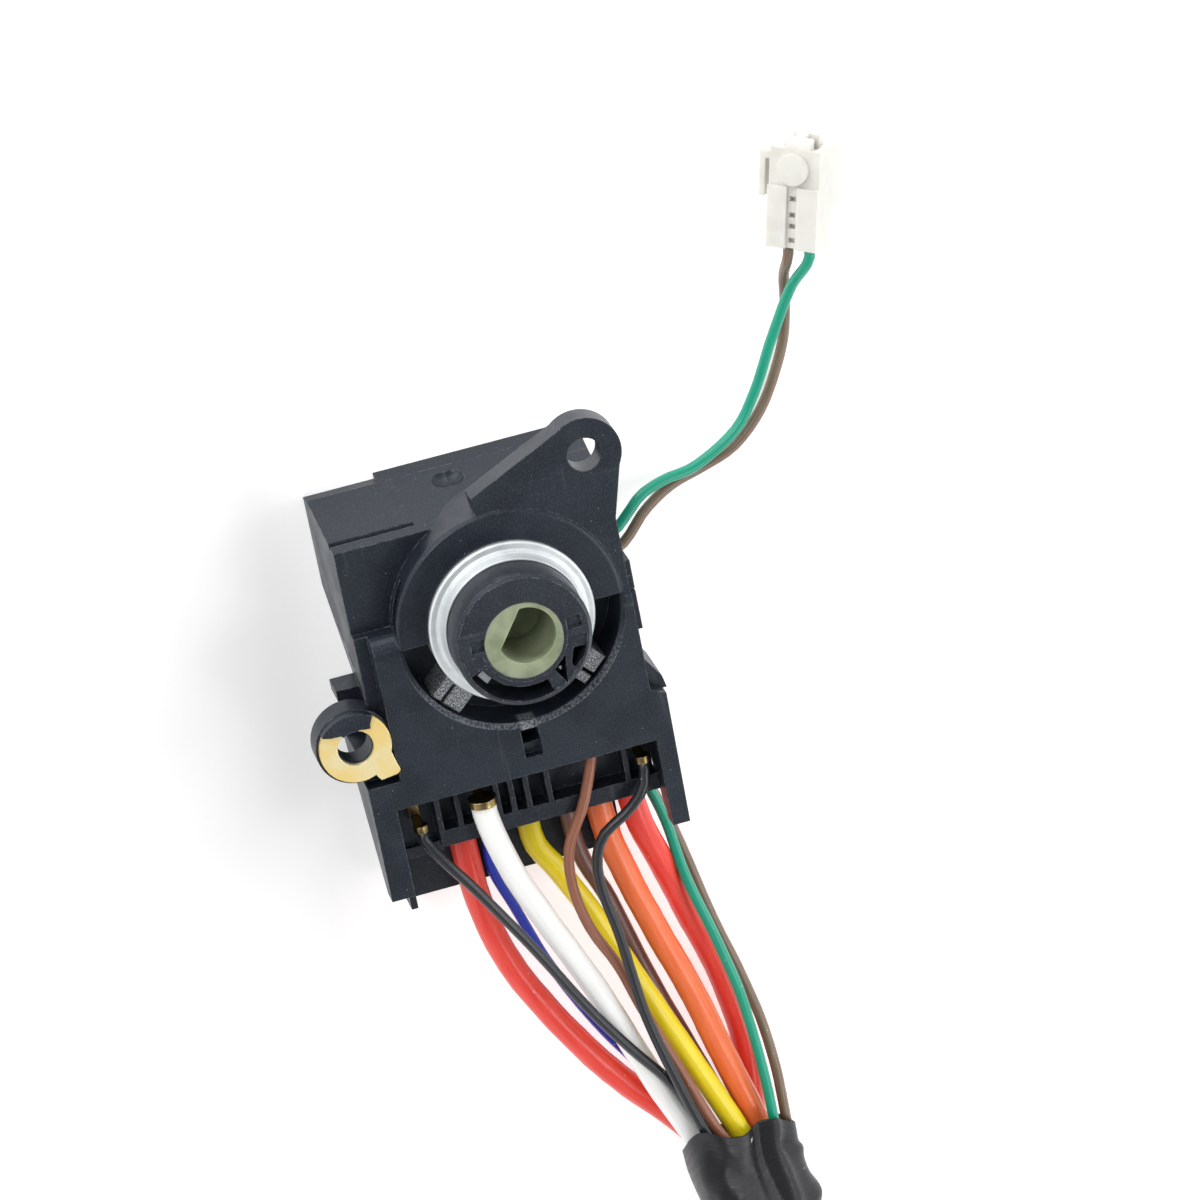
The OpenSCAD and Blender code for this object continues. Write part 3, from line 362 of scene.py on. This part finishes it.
def rubbed_rim(tree, inner, outer, lowest_z, highest_y):
    """Mask of a rubbed rim: 1 between two radii round the lock's axis, above one height and below one y,
    with soft limits, broken up by a fine noise."""
    coords = object_coords(tree)
    split = add(tree, "ShaderNodeSeparateXYZ", Vector=coords).outputs
    flat = add(tree, "ShaderNodeCombineXYZ", X=split["X"], Y=split["Y"]).outputs["Vector"]
    far = vector_math(tree, "LENGTH", i0=flat).outputs["Value"]
    mask = ramp(tree, noise(tree, coords, RUB_SCALE, detail=3.0, roughness=0.7), 0.34, 0.66)
    limits = (
        (far, inner, inner + RIM_SOFT),
        (far, outer, outer - RIM_SOFT),
        (split["Z"], lowest_z, lowest_z + RIM_SOFT),
        (split["Y"], highest_y, highest_y - RIM_FADE),
    )
    for value, none, full in limits:
        mask = times(tree, mask, ramp(tree, value, none, full))
    return mask


def moulded_plastic(name, dark, light, worn=PALE, rough=(0.33, 0.45), wear=0.45, scratch=0.06, scuff=None,
                    rim=None):
    """Moulded plastic: cloudy base between two tones, a fine mottle, pale specks, worn edges, handling marks
    and a grain. scuff is the centre and half size of a patch that is rubbed pale, and rim the limits of a
    rubbed rim."""
    material, tree, shader = new_material(name)
    skin = place(tree, GRAIN, Grain=3600.0)
    spots = place(tree, SPECKS, Scale=700.0, Size=0.07, Share=0.60)
    rims = place(tree, EDGE_MASK, Radius=0.00025)
    marks = place(tree, SCRATCH, Scale=260.0)
    rubs = [times(tree, skin["Mottle"], MOTTLE), times(tree, marks["Mask"], scratch),
            times(tree, rims["Edge"], wear), times(tree, spots["Mask"], 0.45)]
    if scuff is not None:
        rubs.append(scuffed_patch(tree, *scuff))
    if rim is not None:
        rubs.append(times(tree, rubbed_rim(tree, *rim), RIM_RUB))
    base = mix(tree, skin["Cloud"], srgb(dark), srgb(light))
    for rub in rubs:
        base = mix(tree, rub, base, srgb(worn))
    gloss = spread(tree, skin["Cloud"], *rough)
    give_skin(tree, shader, base, gloss, skin["Height"], strength=0.14, depth=0.0004, normal=rims["Normal"])
    shader.inputs["Specular IOR Level"].default_value = 0.5
    shader.inputs["Specular Tint"].default_value = COOL_SHEEN
    return material


def bare_metal(name, tone, shade, rough, metallic=1.0, rim=None):
    """Bare metal: base tone with darker stained patches, uneven gloss and a fine cast or rolled skin. rim is
    the tone of its edges, the base tone if none is given."""
    material, tree, shader = new_material(name)
    skin = place(tree, GRAIN, Grain=1500.0, Waves=220.0)
    rims = place(tree, EDGE_MASK, Radius=0.0002)
    marks = place(tree, SCRATCH, Scale=420.0)
    base = mix(tree, skin["Cloud"], srgb(tone), srgb(shade))
    # Edges take the rim tone: on the brass ring a dark rim paints shade along the edges, on the terminals a
    # pale rim paints glints over some real edge wear
    base = mix(tree, times(tree, rims["Edge"], 0.9), base, srgb(rim or tone))
    uneven = math_node(tree, "ADD", times(tree, marks["Mask"], 0.18), times(tree, skin["Cloud"], 0.12))
    gloss = math_node(tree, "ADD", uneven, rough, clamp=True)
    give_skin(tree, shader, base, gloss, skin["Height"], strength=0.05, depth=0.0002, normal=rims["Normal"])
    shader.inputs["Metallic"].default_value = metallic
    return material


def cast_sleeve_skin():
    """Plated casting: pale satin collar, and dark rough feet with bright grains outside the sleeve's own
    radius."""
    material, tree, shader = new_material("cast_zinc")
    coords = object_coords(tree)
    flat = vector_math(tree, "MULTIPLY", i0=coords, i1=(1.0, 1.0, 0.0)).outputs["Vector"]
    far = vector_math(tree, "LENGTH", i0=flat).outputs["Value"]
    foot = ramp(tree, far, FOOT_FROM - FOOT_SOFT, FOOT_FROM + FOOT_SOFT)
    skin = place(tree, GRAIN, Grain=2600.0, Waves=260.0)
    rims = place(tree, EDGE_MASK, Radius=0.0003)
    grains = ramp(tree, noise(tree, coords, 4200.0, detail=2.0, roughness=0.6), 0.44, 0.66)
    collar = mix(tree, skin["Cloud"], srgb("e8edef"), srgb("dae0e2"))
    feet = mix(tree, grains, srgb("585b5e"), srgb("bcbfc2"))
    gloss = math_node(tree, "ADD", 0.34, times(tree, foot, 0.25))
    base = mix(tree, foot, collar, feet)
    give_skin(tree, shader, base, gloss, skin["Height"], strength=0.12, depth=0.0003, normal=rims["Normal"])
    shader.inputs["Metallic"].default_value = 0.6
    return material


def wire_skin(name, tone, shade):
    """Drawn insulation: long streaks along the wire, small scuffs, dust and an almost smooth skin with slight
    ripples."""
    material, tree, shader = new_material(name)
    along = add(tree, "ShaderNodeUVMap", {"uv_map": "along"}).outputs["UV"]
    drawn = add(tree, "ShaderNodeMapping", Vector=along, Scale=(0.05, 7.0, 1.0)).outputs["Vector"]
    ringed = add(tree, "ShaderNodeMapping", Vector=along, Scale=(0.9, 1.6, 1.0)).outputs["Vector"]
    streaks = ramp(tree, noise(tree, drawn, 3.0, detail=3.0, roughness=0.55), 0.3, 0.72)
    ripple = noise(tree, ringed, 2.2, detail=2.0, roughness=0.5)
    dust = place(tree, SPECKS, Scale=620.0, Size=0.085, Share=0.72)
    marks = place(tree, SCRATCH, Scale=520.0)
    base = mix(tree, streaks, srgb(tone), srgb(shade))
    base = mix(tree, times(tree, dust["Mask"], 0.35), base, (0.8, 0.78, 0.74))
    gloss = math_node(tree, "ADD", 0.30, times(tree, marks["Mask"], 0.2), clamp=True)
    give_skin(tree, shader, base, gloss, ripple, strength=0.12, depth=0.0003)
    shader.inputs["Specular IOR Level"].default_value = 0.5
    shader.inputs["Subsurface Weight"].default_value = 0.05
    shader.inputs["Subsurface Radius"].default_value = (0.001, 0.0006, 0.0005)
    return material


def clear_nylon(name, tone, shade, rough, depth, weight):
    """Milky nylon: light scatters in it, with cloudy flow marks and a soft moulded skin."""
    material, tree, shader = new_material(name)
    skin = place(tree, GRAIN, Grain=5000.0, Waves=240.0)
    rims = place(tree, EDGE_MASK, Radius=0.0003)
    base = mix(tree, skin["Cloud"], srgb(tone), srgb(shade))
    gloss = math_node(tree, "ADD", rough, times(tree, skin["Cloud"], 0.12))
    give_skin(tree, shader, base, gloss, skin["Height"], strength=0.06, depth=0.0003, normal=rims["Normal"])
    shader.inputs["Subsurface Weight"].default_value = weight
    shader.inputs["Subsurface Radius"].default_value = depth
    shader.inputs["Subsurface Scale"].default_value = 1.0
    return material


def loom_tape_skin():
    """Wound vinyl tape: dark satin with creases across the wraps, pale crumbs and a slight sheen on raised
    folds. Its colour is darker where the creases lie low: painted shade in their hollows."""
    material, tree, shader = new_material("loom_tape_skin")
    along = add(tree, "ShaderNodeUVMap", {"uv_map": "along"}).outputs["UV"]
    laid = add(tree, "ShaderNodeMapping", Vector=along, Rotation=(0, 0, 0.35), Scale=(0.55, 5.0, 1.0))
    crease = noise(tree, laid.outputs["Vector"], 2.4, detail=5.0, roughness=0.6, distortion=0.8)
    skin = place(tree, GRAIN, Grain=6000.0, Waves=300.0)
    crumbs = place(tree, SPECKS, Scale=380.0, Size=0.07, Share=0.75)
    # The low parts of the creases take the darker tone: painted shade in their hollows
    base = mix(tree, ramp(tree, crease, 0.4, 0.7), srgb("121317"), srgb("1a1b1f"))
    base = mix(tree, times(tree, crumbs["Mask"], 0.4), base, srgb("b9a58c"))
    base = mix(tree, scuffed_patch(tree, *TAPE_CRUMB), base, srgb("e8e4de"))
    height = math_node(tree, "ADD", crease, times(tree, skin["Height"], 0.15))
    gloss = spread(tree, crease, 0.48, 0.26)
    give_skin(tree, shader, base, gloss, height, strength=0.3, depth=0.0005)
    shader.inputs["Specular IOR Level"].default_value = 0.4
    return material


# Wires: shade, tone, diameter and route; the routes are the part's own

TAPE_Y = -97
WIRES = {
    "black_left": ("1c1e23", "26292f", 1.6, [
        [-18.8, -29, 17.8], [-18.8, -30.6, 17.8], [-17, -34, 19], [-14, -38.6, 19.4], [-7, -51, 18.8],
        [0.2, -65.4, 16.8], [5.2, -74, 15.6], [10.2, -82, 13.9], [13.8, -90.6, 12.7], [16.6, -96.2, 12.4],
        [16.6, TAPE_Y, 12.4]]),
    "red_left": ("e2382c", "ec4a3c", 4.0, [
        [-12.2, -27, 9.6], [-12.2, -35, 9.6], [-11.6, -47, 9.4], [-9.2, -57.6, 8.6], [-4.8, -67.8, 7.8],
        [1.2, -78.6, 7], [5.2, -84.4, 6.8], [9, -89, 6.8], [11.8, -92.6, 6.8], [14, -96.2, 6.8],
        [14, TAPE_Y, 6.8]]),
    "blue": ("1430a8", "1a3cc0", 1.6, [
        [-8.4, -27, 9.6], [-8.4, -35, 9.6], [-8.8, -41.8, 9], [-6.2, -50.8, 7.8], [-3.2, -60.6, 6.4],
        [2.6, -74, 4.6], [9.6, -86, 3.4], [14.4, -93, 3], [16.2, -96.2, 3], [16.2, TAPE_Y, 3]]),
    "white": ("ecece9", "f4f4f2", 3.7, [
        [-9.3, -27, 18.6], [-9.3, -29, 18.6], [-7.4, -38.2, 18.6], [-3.2, -49.8, 17.2], [1.8, -62.6, 15],
        [5.6, -74, 12.8], [9, -84, 11.4], [12, -91.6, 10.9], [13.9, -96.2, 10.9], [13.9, TAPE_Y, 10.9]]),
    "yellow": ("e6cf12", "f0da26", 3.4, [
        [-2.2, -27, 9.6], [-2.2, -35, 9.6], [-1.8, -40, 9.8], [0.6, -44.8, 9.8], [4, -52.4, 10],
        [9.8, -68, 10.2], [16.2, -85.4, 10.4], [19.2, -93.6, 10.8], [19.9, -96.2, 11], [19.9, TAPE_Y, 11]]),
    "brown": ("85503a", "93604a", 1.6, [
        [8.3, -21.6, 16.9], [8.2, -24, 16.9], [5.2, -32.2, 17.6], [2, -38, 17.6], [1.3, -44.6, 17],
        [2.8, -52.8, 16], [5.8, -60.2, 14.8], [8.2, -68.6, 14.2], [13, -83.4, 13.6], [15.6, -91.4, 13.8],
        [17.8, -96.2, 14.2], [17.8, TAPE_Y, 14.2]]),
    "dark_brown": ("63413c", "714f47", 2.6, [
        [3.8, -27, 9.6], [3.8, -35, 9.6], [4.6, -44, 9], [7.2, -51.6, 8.8], [9.5, -60.6, 8], [12, -70, 7.4],
        [15.2, -80.4, 7], [18.6, -92, 7], [19.4, -96.2, 7], [19.4, TAPE_Y, 7]]),
    "black_right": ("1a1c20", "24272c", 1.6, [
        [15, -27.5, 17.8], [15, -29.2, 17.8], [14.2, -31.8, 18.4], [11.6, -34.6, 18.4], [7, -37.6, 18.4],
        [5.5, -41, 18.2], [5.3, -45.6, 17.8], [6.6, -54.2, 17.2], [8.2, -68.6, 16.2], [10.6, -79.6, 15.6],
        [13.5, -90.4, 14.9], [15.6, -96.2, 14.6], [15.6, TAPE_Y, 14.6]]),
    "orange": ("ea6a38", "f27a48", 4.0, [
        [8.6, -27, 9.6], [8.6, -35, 9.6], [9, -41.2, 9.6], [10.7, -49.2, 9.6], [13.6, -59.8, 9.4],
        [16.7, -70, 9], [19.6, -81.8, 8.4], [22.4, -93, 8], [23, -96.2, 8], [23, TAPE_Y, 8]]),
    "red_right": ("e2382c", "ec4a3c", 4.0, [
        [13.4, -27, 9.6], [13.4, -35, 9.6], [14.2, -41.4, 9.2], [16.7, -50.2, 7.8], [19.4, -60.2, 5.8],
        [22.4, -71, 4], [24.2, -84, 3.6], [23.4, -96.2, 3.6], [23.4, TAPE_Y, 3.6]]),
    "green": ("0a8f72", "129c7f", 1.6, [
        [15.8, -27, 6.1], [16.2, -34, 6.1], [18.2, -42.6, 7.2], [19.3, -52, 9.6], [21.5, -61.4, 10.4],
        [23.6, -71.6, 10.6], [24.6, -81, 10.6], [25, -88.6, 10.8], [25, -96.2, 11.2], [25, TAPE_Y, 11.2]]),
    "tan": ("735d4c", "82705f", 1.6, [
        [15.8, -27, 4.1], [16.4, -34, 4.1], [19.4, -45, 5.5], [22.7, -61.6, 6.4], [24.7, -69.6, 6.8],
        [26.6, -79, 7.4], [27.4, -87.6, 7.8], [27.4, -96.2, 8.2], [27.4, TAPE_Y, 8.2]]),
}
WIRE_RINGS, WIRE_SIDES = 40, 24

# Place and turn of the white plug
PIG_AT, PIG_YAW, PIG_ROLL = np.array([51.8, 40, 9.47]), np.radians(-12), np.radians(38)


def pig_turn(v):
    """A vector of the white plug's own frame turned into the part's frame: roll about Y, then yaw about Z."""
    x, y, z = v
    cr, sr, cy, sy = np.cos(PIG_ROLL), np.sin(PIG_ROLL), np.cos(PIG_YAW), np.sin(PIG_YAW)
    x, z = x * cr - z * sr, x * sr + z * cr
    return np.array([x * cy - y * sy, x * sy + y * cy, z])


def pig_end(x):
    """Last two points of a thin wire that runs straight into the white plug."""
    return [(PIG_AT + pig_turn((x, y, -2.8))).tolist() for y in (-2, 0)]


PIGTAILS = {
    "green": (1.6, [
        [15.8, 3.2, 6], [19.2, 3.2, 6], [21.6, 4.9, 5.6], [24.4, 7.2, 5], [28.4, 8.2, 4], [33.4, 8.6, 3],
        [40.6, 12.4, 2.4], [44, 16.8, 2.4], [48.2, 25.4, 3.4], [52, 32.8, 5]] + pig_end(1.9)),
    "tan": (1.6, [
        [15.8, 0.4, 6], [19.2, 0.4, 6], [21.4, 1.6, 5.4], [24.6, 4.4, 4.4], [29.6, 6.6, 2.6],
        [34.8, 7.5, 1.3], [39.6, 9, 0.9], [42.8, 11.4, 0.9], [46, 15.2, 0.9], [50, 23.4, 1.2],
        [51.3, 30, 2], [51.5, 34, 3.2]] + pig_end(-1.4)),
}


def insulated_wire(name, route, diameter, material, seed):
    """One wire: a tube along its smooth route, its radius eased by slow ripples a hundredth of its size."""
    line = flowing_line(route, WIRE_RINGS)
    waves = [(0.012, 0.11, 1, seed), (0.008, 0.27, 2, 2.3 * seed), (0.006, 0.05, 0, 1.7 * seed)]
    piece = tube_along(name, line, lambda u, v: diameter / 2 * (1 + ripples(u, v, waves)), WIRE_SIDES)
    piece.data.materials.append(material)
    return piece, line


wire_skins = {}
wire_lines = {}
for number, (key, (shade, tone, diameter, route)) in enumerate(WIRES.items()):
    wire_skins[key] = wire_skin("insulation_" + key, tone, shade)
    piece, line = insulated_wire("lead_" + key, route, diameter, wire_skins[key], number + 1.0)
    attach(piece, "housing")
    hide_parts("wire_" + key)
    wire_lines[key] = line

for number, (key, (diameter, route)) in enumerate(PIGTAILS.items()):
    piece, line = insulated_wire("side_lead_" + key, route, diameter, wire_skins[key], number + 20.0)
    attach(piece, "housing")
    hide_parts("pigtail_" + key)


# Taped loom

TRUNK_D = 17.5
TRUNK = [[x, y, TRUNK_D / 2] for x, y in (
    (20.1, TAPE_Y), (20.1, -101), (21, -109), (20.6, -120), (16.6, -137), (8.8, -155), (-2, -173),
    (-14, -193))]
LOOM_D = 16.8

# Rings and sides of the tape's mesh, points of the cord's path and least radius under the tape
LOOM_RINGS, LOOM_SIDES, LOOM_PATH = 300, 144, 36
CORE_R = 3.5

# One wrap of the tape along the loom, how high its overlap stands and the share of the wrap that rises to it
WRAP, WRAP_STEP, WRAP_RISE = 19.0, 0.16, 0.94

# Thickness of the tape over the wires, and how far its low side lies inside the loom's radius
TAPE_T, TAPE_SINK = 0.3, 0.1

# Stretch in which the tape eases from the wires to the round, and in which the mouth's lobes fade
EASE, MOUTH_FADE = 34, 14

# A wire counts as covered from this far in front of the tape's edge
MOUTH_SPARE = 1.0

# The edge: a ring nearer than LIP is turned in by LIP_IN and set back by LIP_DEEP
LIP, LIP_IN, LIP_DEEP = 0.2, 0.8, 1.8

# Lobes of the mouth: reach, place in turns and width in turns
LOBES = [(6.8, 0.13, 0.085), (4.4, 0.37, 0.09), (2.6, 0.245, 0.06)]

# Waves of the edge and of the tape, as in ripples
EDGE_WAVES = [(0.14, 0, 7, 0.6)]
LUMPS = [(0.16, 0.021, 2, 0.4), (0.12, 0.037, 3, 1.9), (0.07, 0.06, 5, 4.0)]
FOLDS = [(0.03, 0.09, 4, 0.3), (0.02, 0.14, -6, 2.1), (0.012, 0.3, 9, 1.2)]

# Puckers: height, place in turns, place along the loom, width in turns and length
PUCKERS = [
    (-0.8, 0.00, 7.5, 0.070, 4.0),
    (0.45, 0.50, 5.8, 0.045, 1.3),
    (1.1, 0.50, 12.6, 0.055, 2.0),
    (-0.5, 0.15, 3.4, 0.020, 1.3),
    (-0.6, 0.19, 4.8, 0.020, 1.3),
    (-0.6, 0.22, 6.2, 0.022, 1.4),
    (0.4, 0.21, 3.2, 0.022, 1.4),
    (0.4, 0.12, 5.4, 0.022, 1.6),
    (0.5, 0.15, 7.4, 0.018, 0.7),
    (0.5, 0.19, 7.4, 0.018, 0.7),
    (-0.4, 0.17, 9.4, 0.030, 1.6),
    (-0.5, 0.42, 4.4, 0.022, 1.2),
    (0.5, 0.10, 12.0, 0.035, 1.7),
    (-0.4, 0.40, 14.0, 0.035, 1.7),
]


def tape_mouth(u, v):
    """How far the tape's edge comes forward over the wires: a few lobes and a wavy rim, all fading along the
    loom. The first ring lies deeper, as the inside of the edge."""
    lobes = sum(h * bell(v, at, wide) for h, at, wide in LOBES)
    rim = ripples(u, v, EDGE_WAVES)
    return (lobes + rim) * (1 - smooth_step(u, 0, MOUTH_FADE)) - LIP_DEEP * (u < LIP)


def reach_of_wires(sides):
    """Distance from the loom's axis to the outermost wire in each direction under the tape's edge: for a wire
    at c with radius r, a ray e leaves it at c.e + sqrt(r^2 - c^2 + (c.e)^2). The largest one within a
    twentieth of a turn is averaged over a tenth, as stretched tape bridges the gaps and cuts into no wire."""
    share = np.arange(sides) / sides
    ray = np.stack([-np.cos(2 * np.pi * share), np.sin(2 * np.pi * share)], axis=1)
    edge = TAPE_Y + tape_mouth(np.full(sides, LIP), share) + MOUTH_SPARE
    reach = np.full(sides, CORE_R)
    for key, (shade, tone, diameter, route) in WIRES.items():
        line = wire_lines[key]
        away = line[:, [0, 2]] - np.array([TRUNK[0][0], TRUNK[0][2]])
        along = away @ ray.T
        inside = (diameter / 2) ** 2 - (away ** 2).sum(axis=1)[:, None] + along ** 2
        covered = (line[:, 1][:, None] < edge) & (inside > 0)
        leave = np.where(covered, along + np.sqrt(np.clip(inside, 0, None)), 0)
        reach = np.maximum(reach, leave.max(axis=0))
    span = sides // 10
    shifts = range(-(span // 2), span // 2 + 1)
    widest = np.stack([np.roll(reach, shift) for shift in shifts]).max(axis=0)
    window = np.hanning(span + 2)[1:-1]
    wrapped = np.concatenate([widest[-span:], widest, widest[:span]])
    return np.convolve(wrapped, window / window.sum(), mode="same")[span:-span] + TAPE_T


def wound_tape(u, v):
    """Radius of the taped loom: the wires' own reach at the mouth, eased into the full round, with a low
    spiral step where the wraps overlap, slow lumps, long shallow folds and short puckers. The first ring is
    turned in."""
    hug = reach_of_wires(LOOM_SIDES)[None, :]
    wrap = (u / WRAP + v) % 1.0
    rise = np.clip(wrap / WRAP_RISE, 0, 1)
    fall = np.clip((wrap - WRAP_RISE) / (1 - WRAP_RISE), 0, 1)
    full = LOOM_D / 2 - TAPE_SINK + WRAP_STEP * (rise - fall) + ripples(u, v, LUMPS)
    puckers = sum(h * bell(v, at, wide) * np.exp(-((u - far) / long) ** 2)
                  for h, at, far, wide, long in PUCKERS)
    ease = smooth_step(u, 0, EASE)
    return hug * (1 - ease) + full * ease + ripples(u, v, FOLDS) + puckers - LIP_IN * (u < LIP)


loom = tube_along("taped_loom", flowing_line(TRUNK, LOOM_RINGS), wound_tape, LOOM_SIDES, slide=tape_mouth)
loom.data.materials.append(loom_tape_skin())
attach(loom, "housing")
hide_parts("harness_trunk")
coarse = flowing_line(TRUNK, LOOM_PATH)


# Finishes of the carried-over CAD pieces

def finish_node(names, material):
    """Gives each named CAD node the material in all its slots."""
    for name in names:
        mesh = nodes[name].data
        mesh.materials.clear()
        mesh.materials.append(material)


finish_node(["front_housing"],
            moulded_plastic("housing_black", "0e141e", "131923", scuff=SLOT_SCUFF, rim=BOWL_RIM))
finish_node(["rear_cover"], moulded_plastic("cover_black", "0e131c", "131821"))
finish_node(["terminal_block"], moulded_plastic("comb_black", "0d1118", "12161e", rough=(0.34, 0.46)))
finish_node(["rotor"],
            moulded_plastic("rotor_black", "12171f", "181d25", worn="a5a8ad", wear=0.55, scratch=0.1))
finish_node(["harness_plug"], moulded_plastic("plug_black", "12161d", "181c23"))
finish_node(["contact_base"], moulded_plastic("laminate_brown", "5a442f", "6c543c", worn="9a8468"))
finish_node(["contact_carrier"], moulded_plastic("carrier_ivory", "d3cdbd", "e1dccf", worn="f2efe8"))
finish_node(["drive_insert"],
            clear_nylon("nylon_natural", "7d866a", "959d82", 0.30,
                        depth=(0.0022, 0.0024, 0.0014), weight=0.5))
finish_node(["pigtail_plug"],
            clear_nylon("nylon_white", "d3d1ca", "dbdad4", 0.32,
                        depth=(0.0016, 0.0015, 0.0013), weight=0.45))
finish_node(["lock_sleeve"], cast_sleeve_skin())
# The brass ring's dark rim tone is painted shade along its edges
finish_node(["ground_ring"], bare_metal("ring_brass", "fff0bc", "f6da8c", 0.26, metallic=0.5, rim="8a6422"))
# The terminals' pale rim tone is painted glints on their edges, over some real edge wear
finish_node([name for name in nodes if "_terminal_" in name or name.endswith("_contacts")],
            bare_metal("tinned_brass", "a8925f", "6a5b3e", 0.22, rim="fff6da"))
finish_node(["battery_contact", "start_contact", "accessory_contact", "ignition_contact",
             "bridge_1", "bridge_2", "bridge_3"],
            bare_metal("contact_copper", "d59a68", "b97848", 0.26))
finish_node(["return_spring", "detent_spring", "rotor_pin",
             "bridge_spring_1", "bridge_spring_2", "bridge_spring_3"],
            bare_metal("spring_steel", "b3b7bb", "8f9499", 0.28))


# Floor, light and camera

FLOOR_HALF, FLOOR_LINES, FLOOR_DROP = 1.6, 9, 0.00005
# The floor's glow goes from left to right over these places
GLOW_ACROSS = (-0.034, -0.010)
GLOW_LEFT, GLOW_RIGHT = (0.12, 0.12, 0.12), (0.55, 0.55, 0.55)
# Tent light: brightest round the sides
HORIZON, ZENITH = 1.5, 0.3
# Soft panels: place, size and power
PANELS = {
    "key_right": ((0.65, -0.05, 0.55), (0.4, 0.4), 1.6),
    "key_left": ((-0.35, 0.45, 0.70), (0.4, 0.4), 2.4),
    "low_behind": ((-0.30, 0.85, 0.16), (0.8, 0.25), 2.4),
    "sheen_right": ((0.50, -0.42, 0.80), (0.3, 0.3), 1.5),
}
LIT_POINT = np.array([0, 0, 0.01])
LOOK_AT = np.array([12.8, 0.3, 22.0]) * MM
TO_CAMERA = np.array([-0.147, 0.396, 0.906])
CAMERA_UP = (0.256, 0.900, -0.351)
CAMERA_AWAY = 0.9
# Sensor width and focal length, in millimetres
SENSOR, FOCAL = 36.0, 189.0


def turn_to(thing, at, target, up=(0.0, 0.0, 1.0)):
    """Sets an object's place and turns its -Z axis to the target, with its Y axis near up."""
    back = (at - target) / np.linalg.norm(at - target)
    right = np.cross(up, back)
    right /= np.linalg.norm(right)
    matrix = np.eye(4)
    matrix[:3] = np.stack([right, np.cross(back, right), back, at], axis=1)
    thing.matrix_world = Matrix(matrix.tolist())


def pale_floor():
    """Wide flat sheet just below the back cover: one low z over the whole grid. It glows, more on the right
    than on the left, so that its shadows lie on the left."""
    side = np.linspace(-FLOOR_HALF, FLOOR_HALF, FLOOR_LINES)
    x, y = np.meshgrid(side, side, indexing="ij")
    grid = np.stack([x, y, np.full_like(x, -FLOOR_DROP)], axis=-1)
    floor = mesh_from_grid("pale_floor", grid, closed_round=False, caps=False)
    material, tree, shader = new_material("floor_white")
    coords = object_coords(tree)
    cloud = noise(tree, coords, 9.0, detail=3.0, roughness=0.5)
    across = add(tree, "ShaderNodeSeparateXYZ", Vector=coords).outputs["X"]
    glow = mix(tree, ramp(tree, across, *GLOW_ACROSS), GLOW_LEFT, GLOW_RIGHT)
    tree.links.new(mix(tree, cloud, (0.82, 0.82, 0.82), (0.86, 0.86, 0.86)), shader.inputs["Base Color"])
    tree.links.new(glow, shader.inputs["Emission Color"])
    shader.inputs["Emission Strength"].default_value = 1.0
    shader.inputs["Roughness"].default_value = 0.7
    floor.data.materials.append(material)


def tent_light():
    """World that fades evenly with height from the horizon to the zenith."""
    world = bpy.data.worlds.new("studio")
    bpy.context.scene.world = world
    world.use_nodes = True
    sky = world.node_tree
    background = sky.nodes["Background"]
    ray = add(sky, "ShaderNodeTexCoord").outputs["Generated"]
    height = add(sky, "ShaderNodeSeparateXYZ", Vector=ray).outputs["Z"]
    background.inputs["Color"].default_value = (1.0, 1.0, 1.0, 1.0)
    sky.links.new(spread(sky, height, HORIZON, ZENITH), background.inputs["Strength"])


def soft_panel(name, at, size, power):
    """Rectangular area light at a place, turned to the part."""
    light = bpy.data.lights.new(name, "AREA")
    light.shape = "RECTANGLE"
    light.size, light.size_y = size
    light.energy = power
    panel = bpy.data.objects.new(name, light)
    bpy.context.collection.objects.link(panel)
    turn_to(panel, np.array(at), LIT_POINT)


def photo_camera():
    """Camera at the photograph's viewing angle."""
    lens = bpy.data.cameras.new("photo_camera")
    lens.sensor_width = SENSOR
    lens.lens = FOCAL
    lens.clip_start, lens.clip_end = 0.01, 20.0
    camera = bpy.data.objects.new("photo_camera", lens)
    bpy.context.collection.objects.link(camera)
    turn_to(camera, LOOK_AT + CAMERA_AWAY * TO_CAMERA / np.linalg.norm(TO_CAMERA), LOOK_AT, CAMERA_UP)
    bpy.context.scene.camera = camera


pale_floor()
tent_light()
for name, (at, size, power) in PANELS.items():
    soft_panel(name, at, size, power)
photo_camera()
bpy.context.scene.view_settings.view_transform = "Standard"
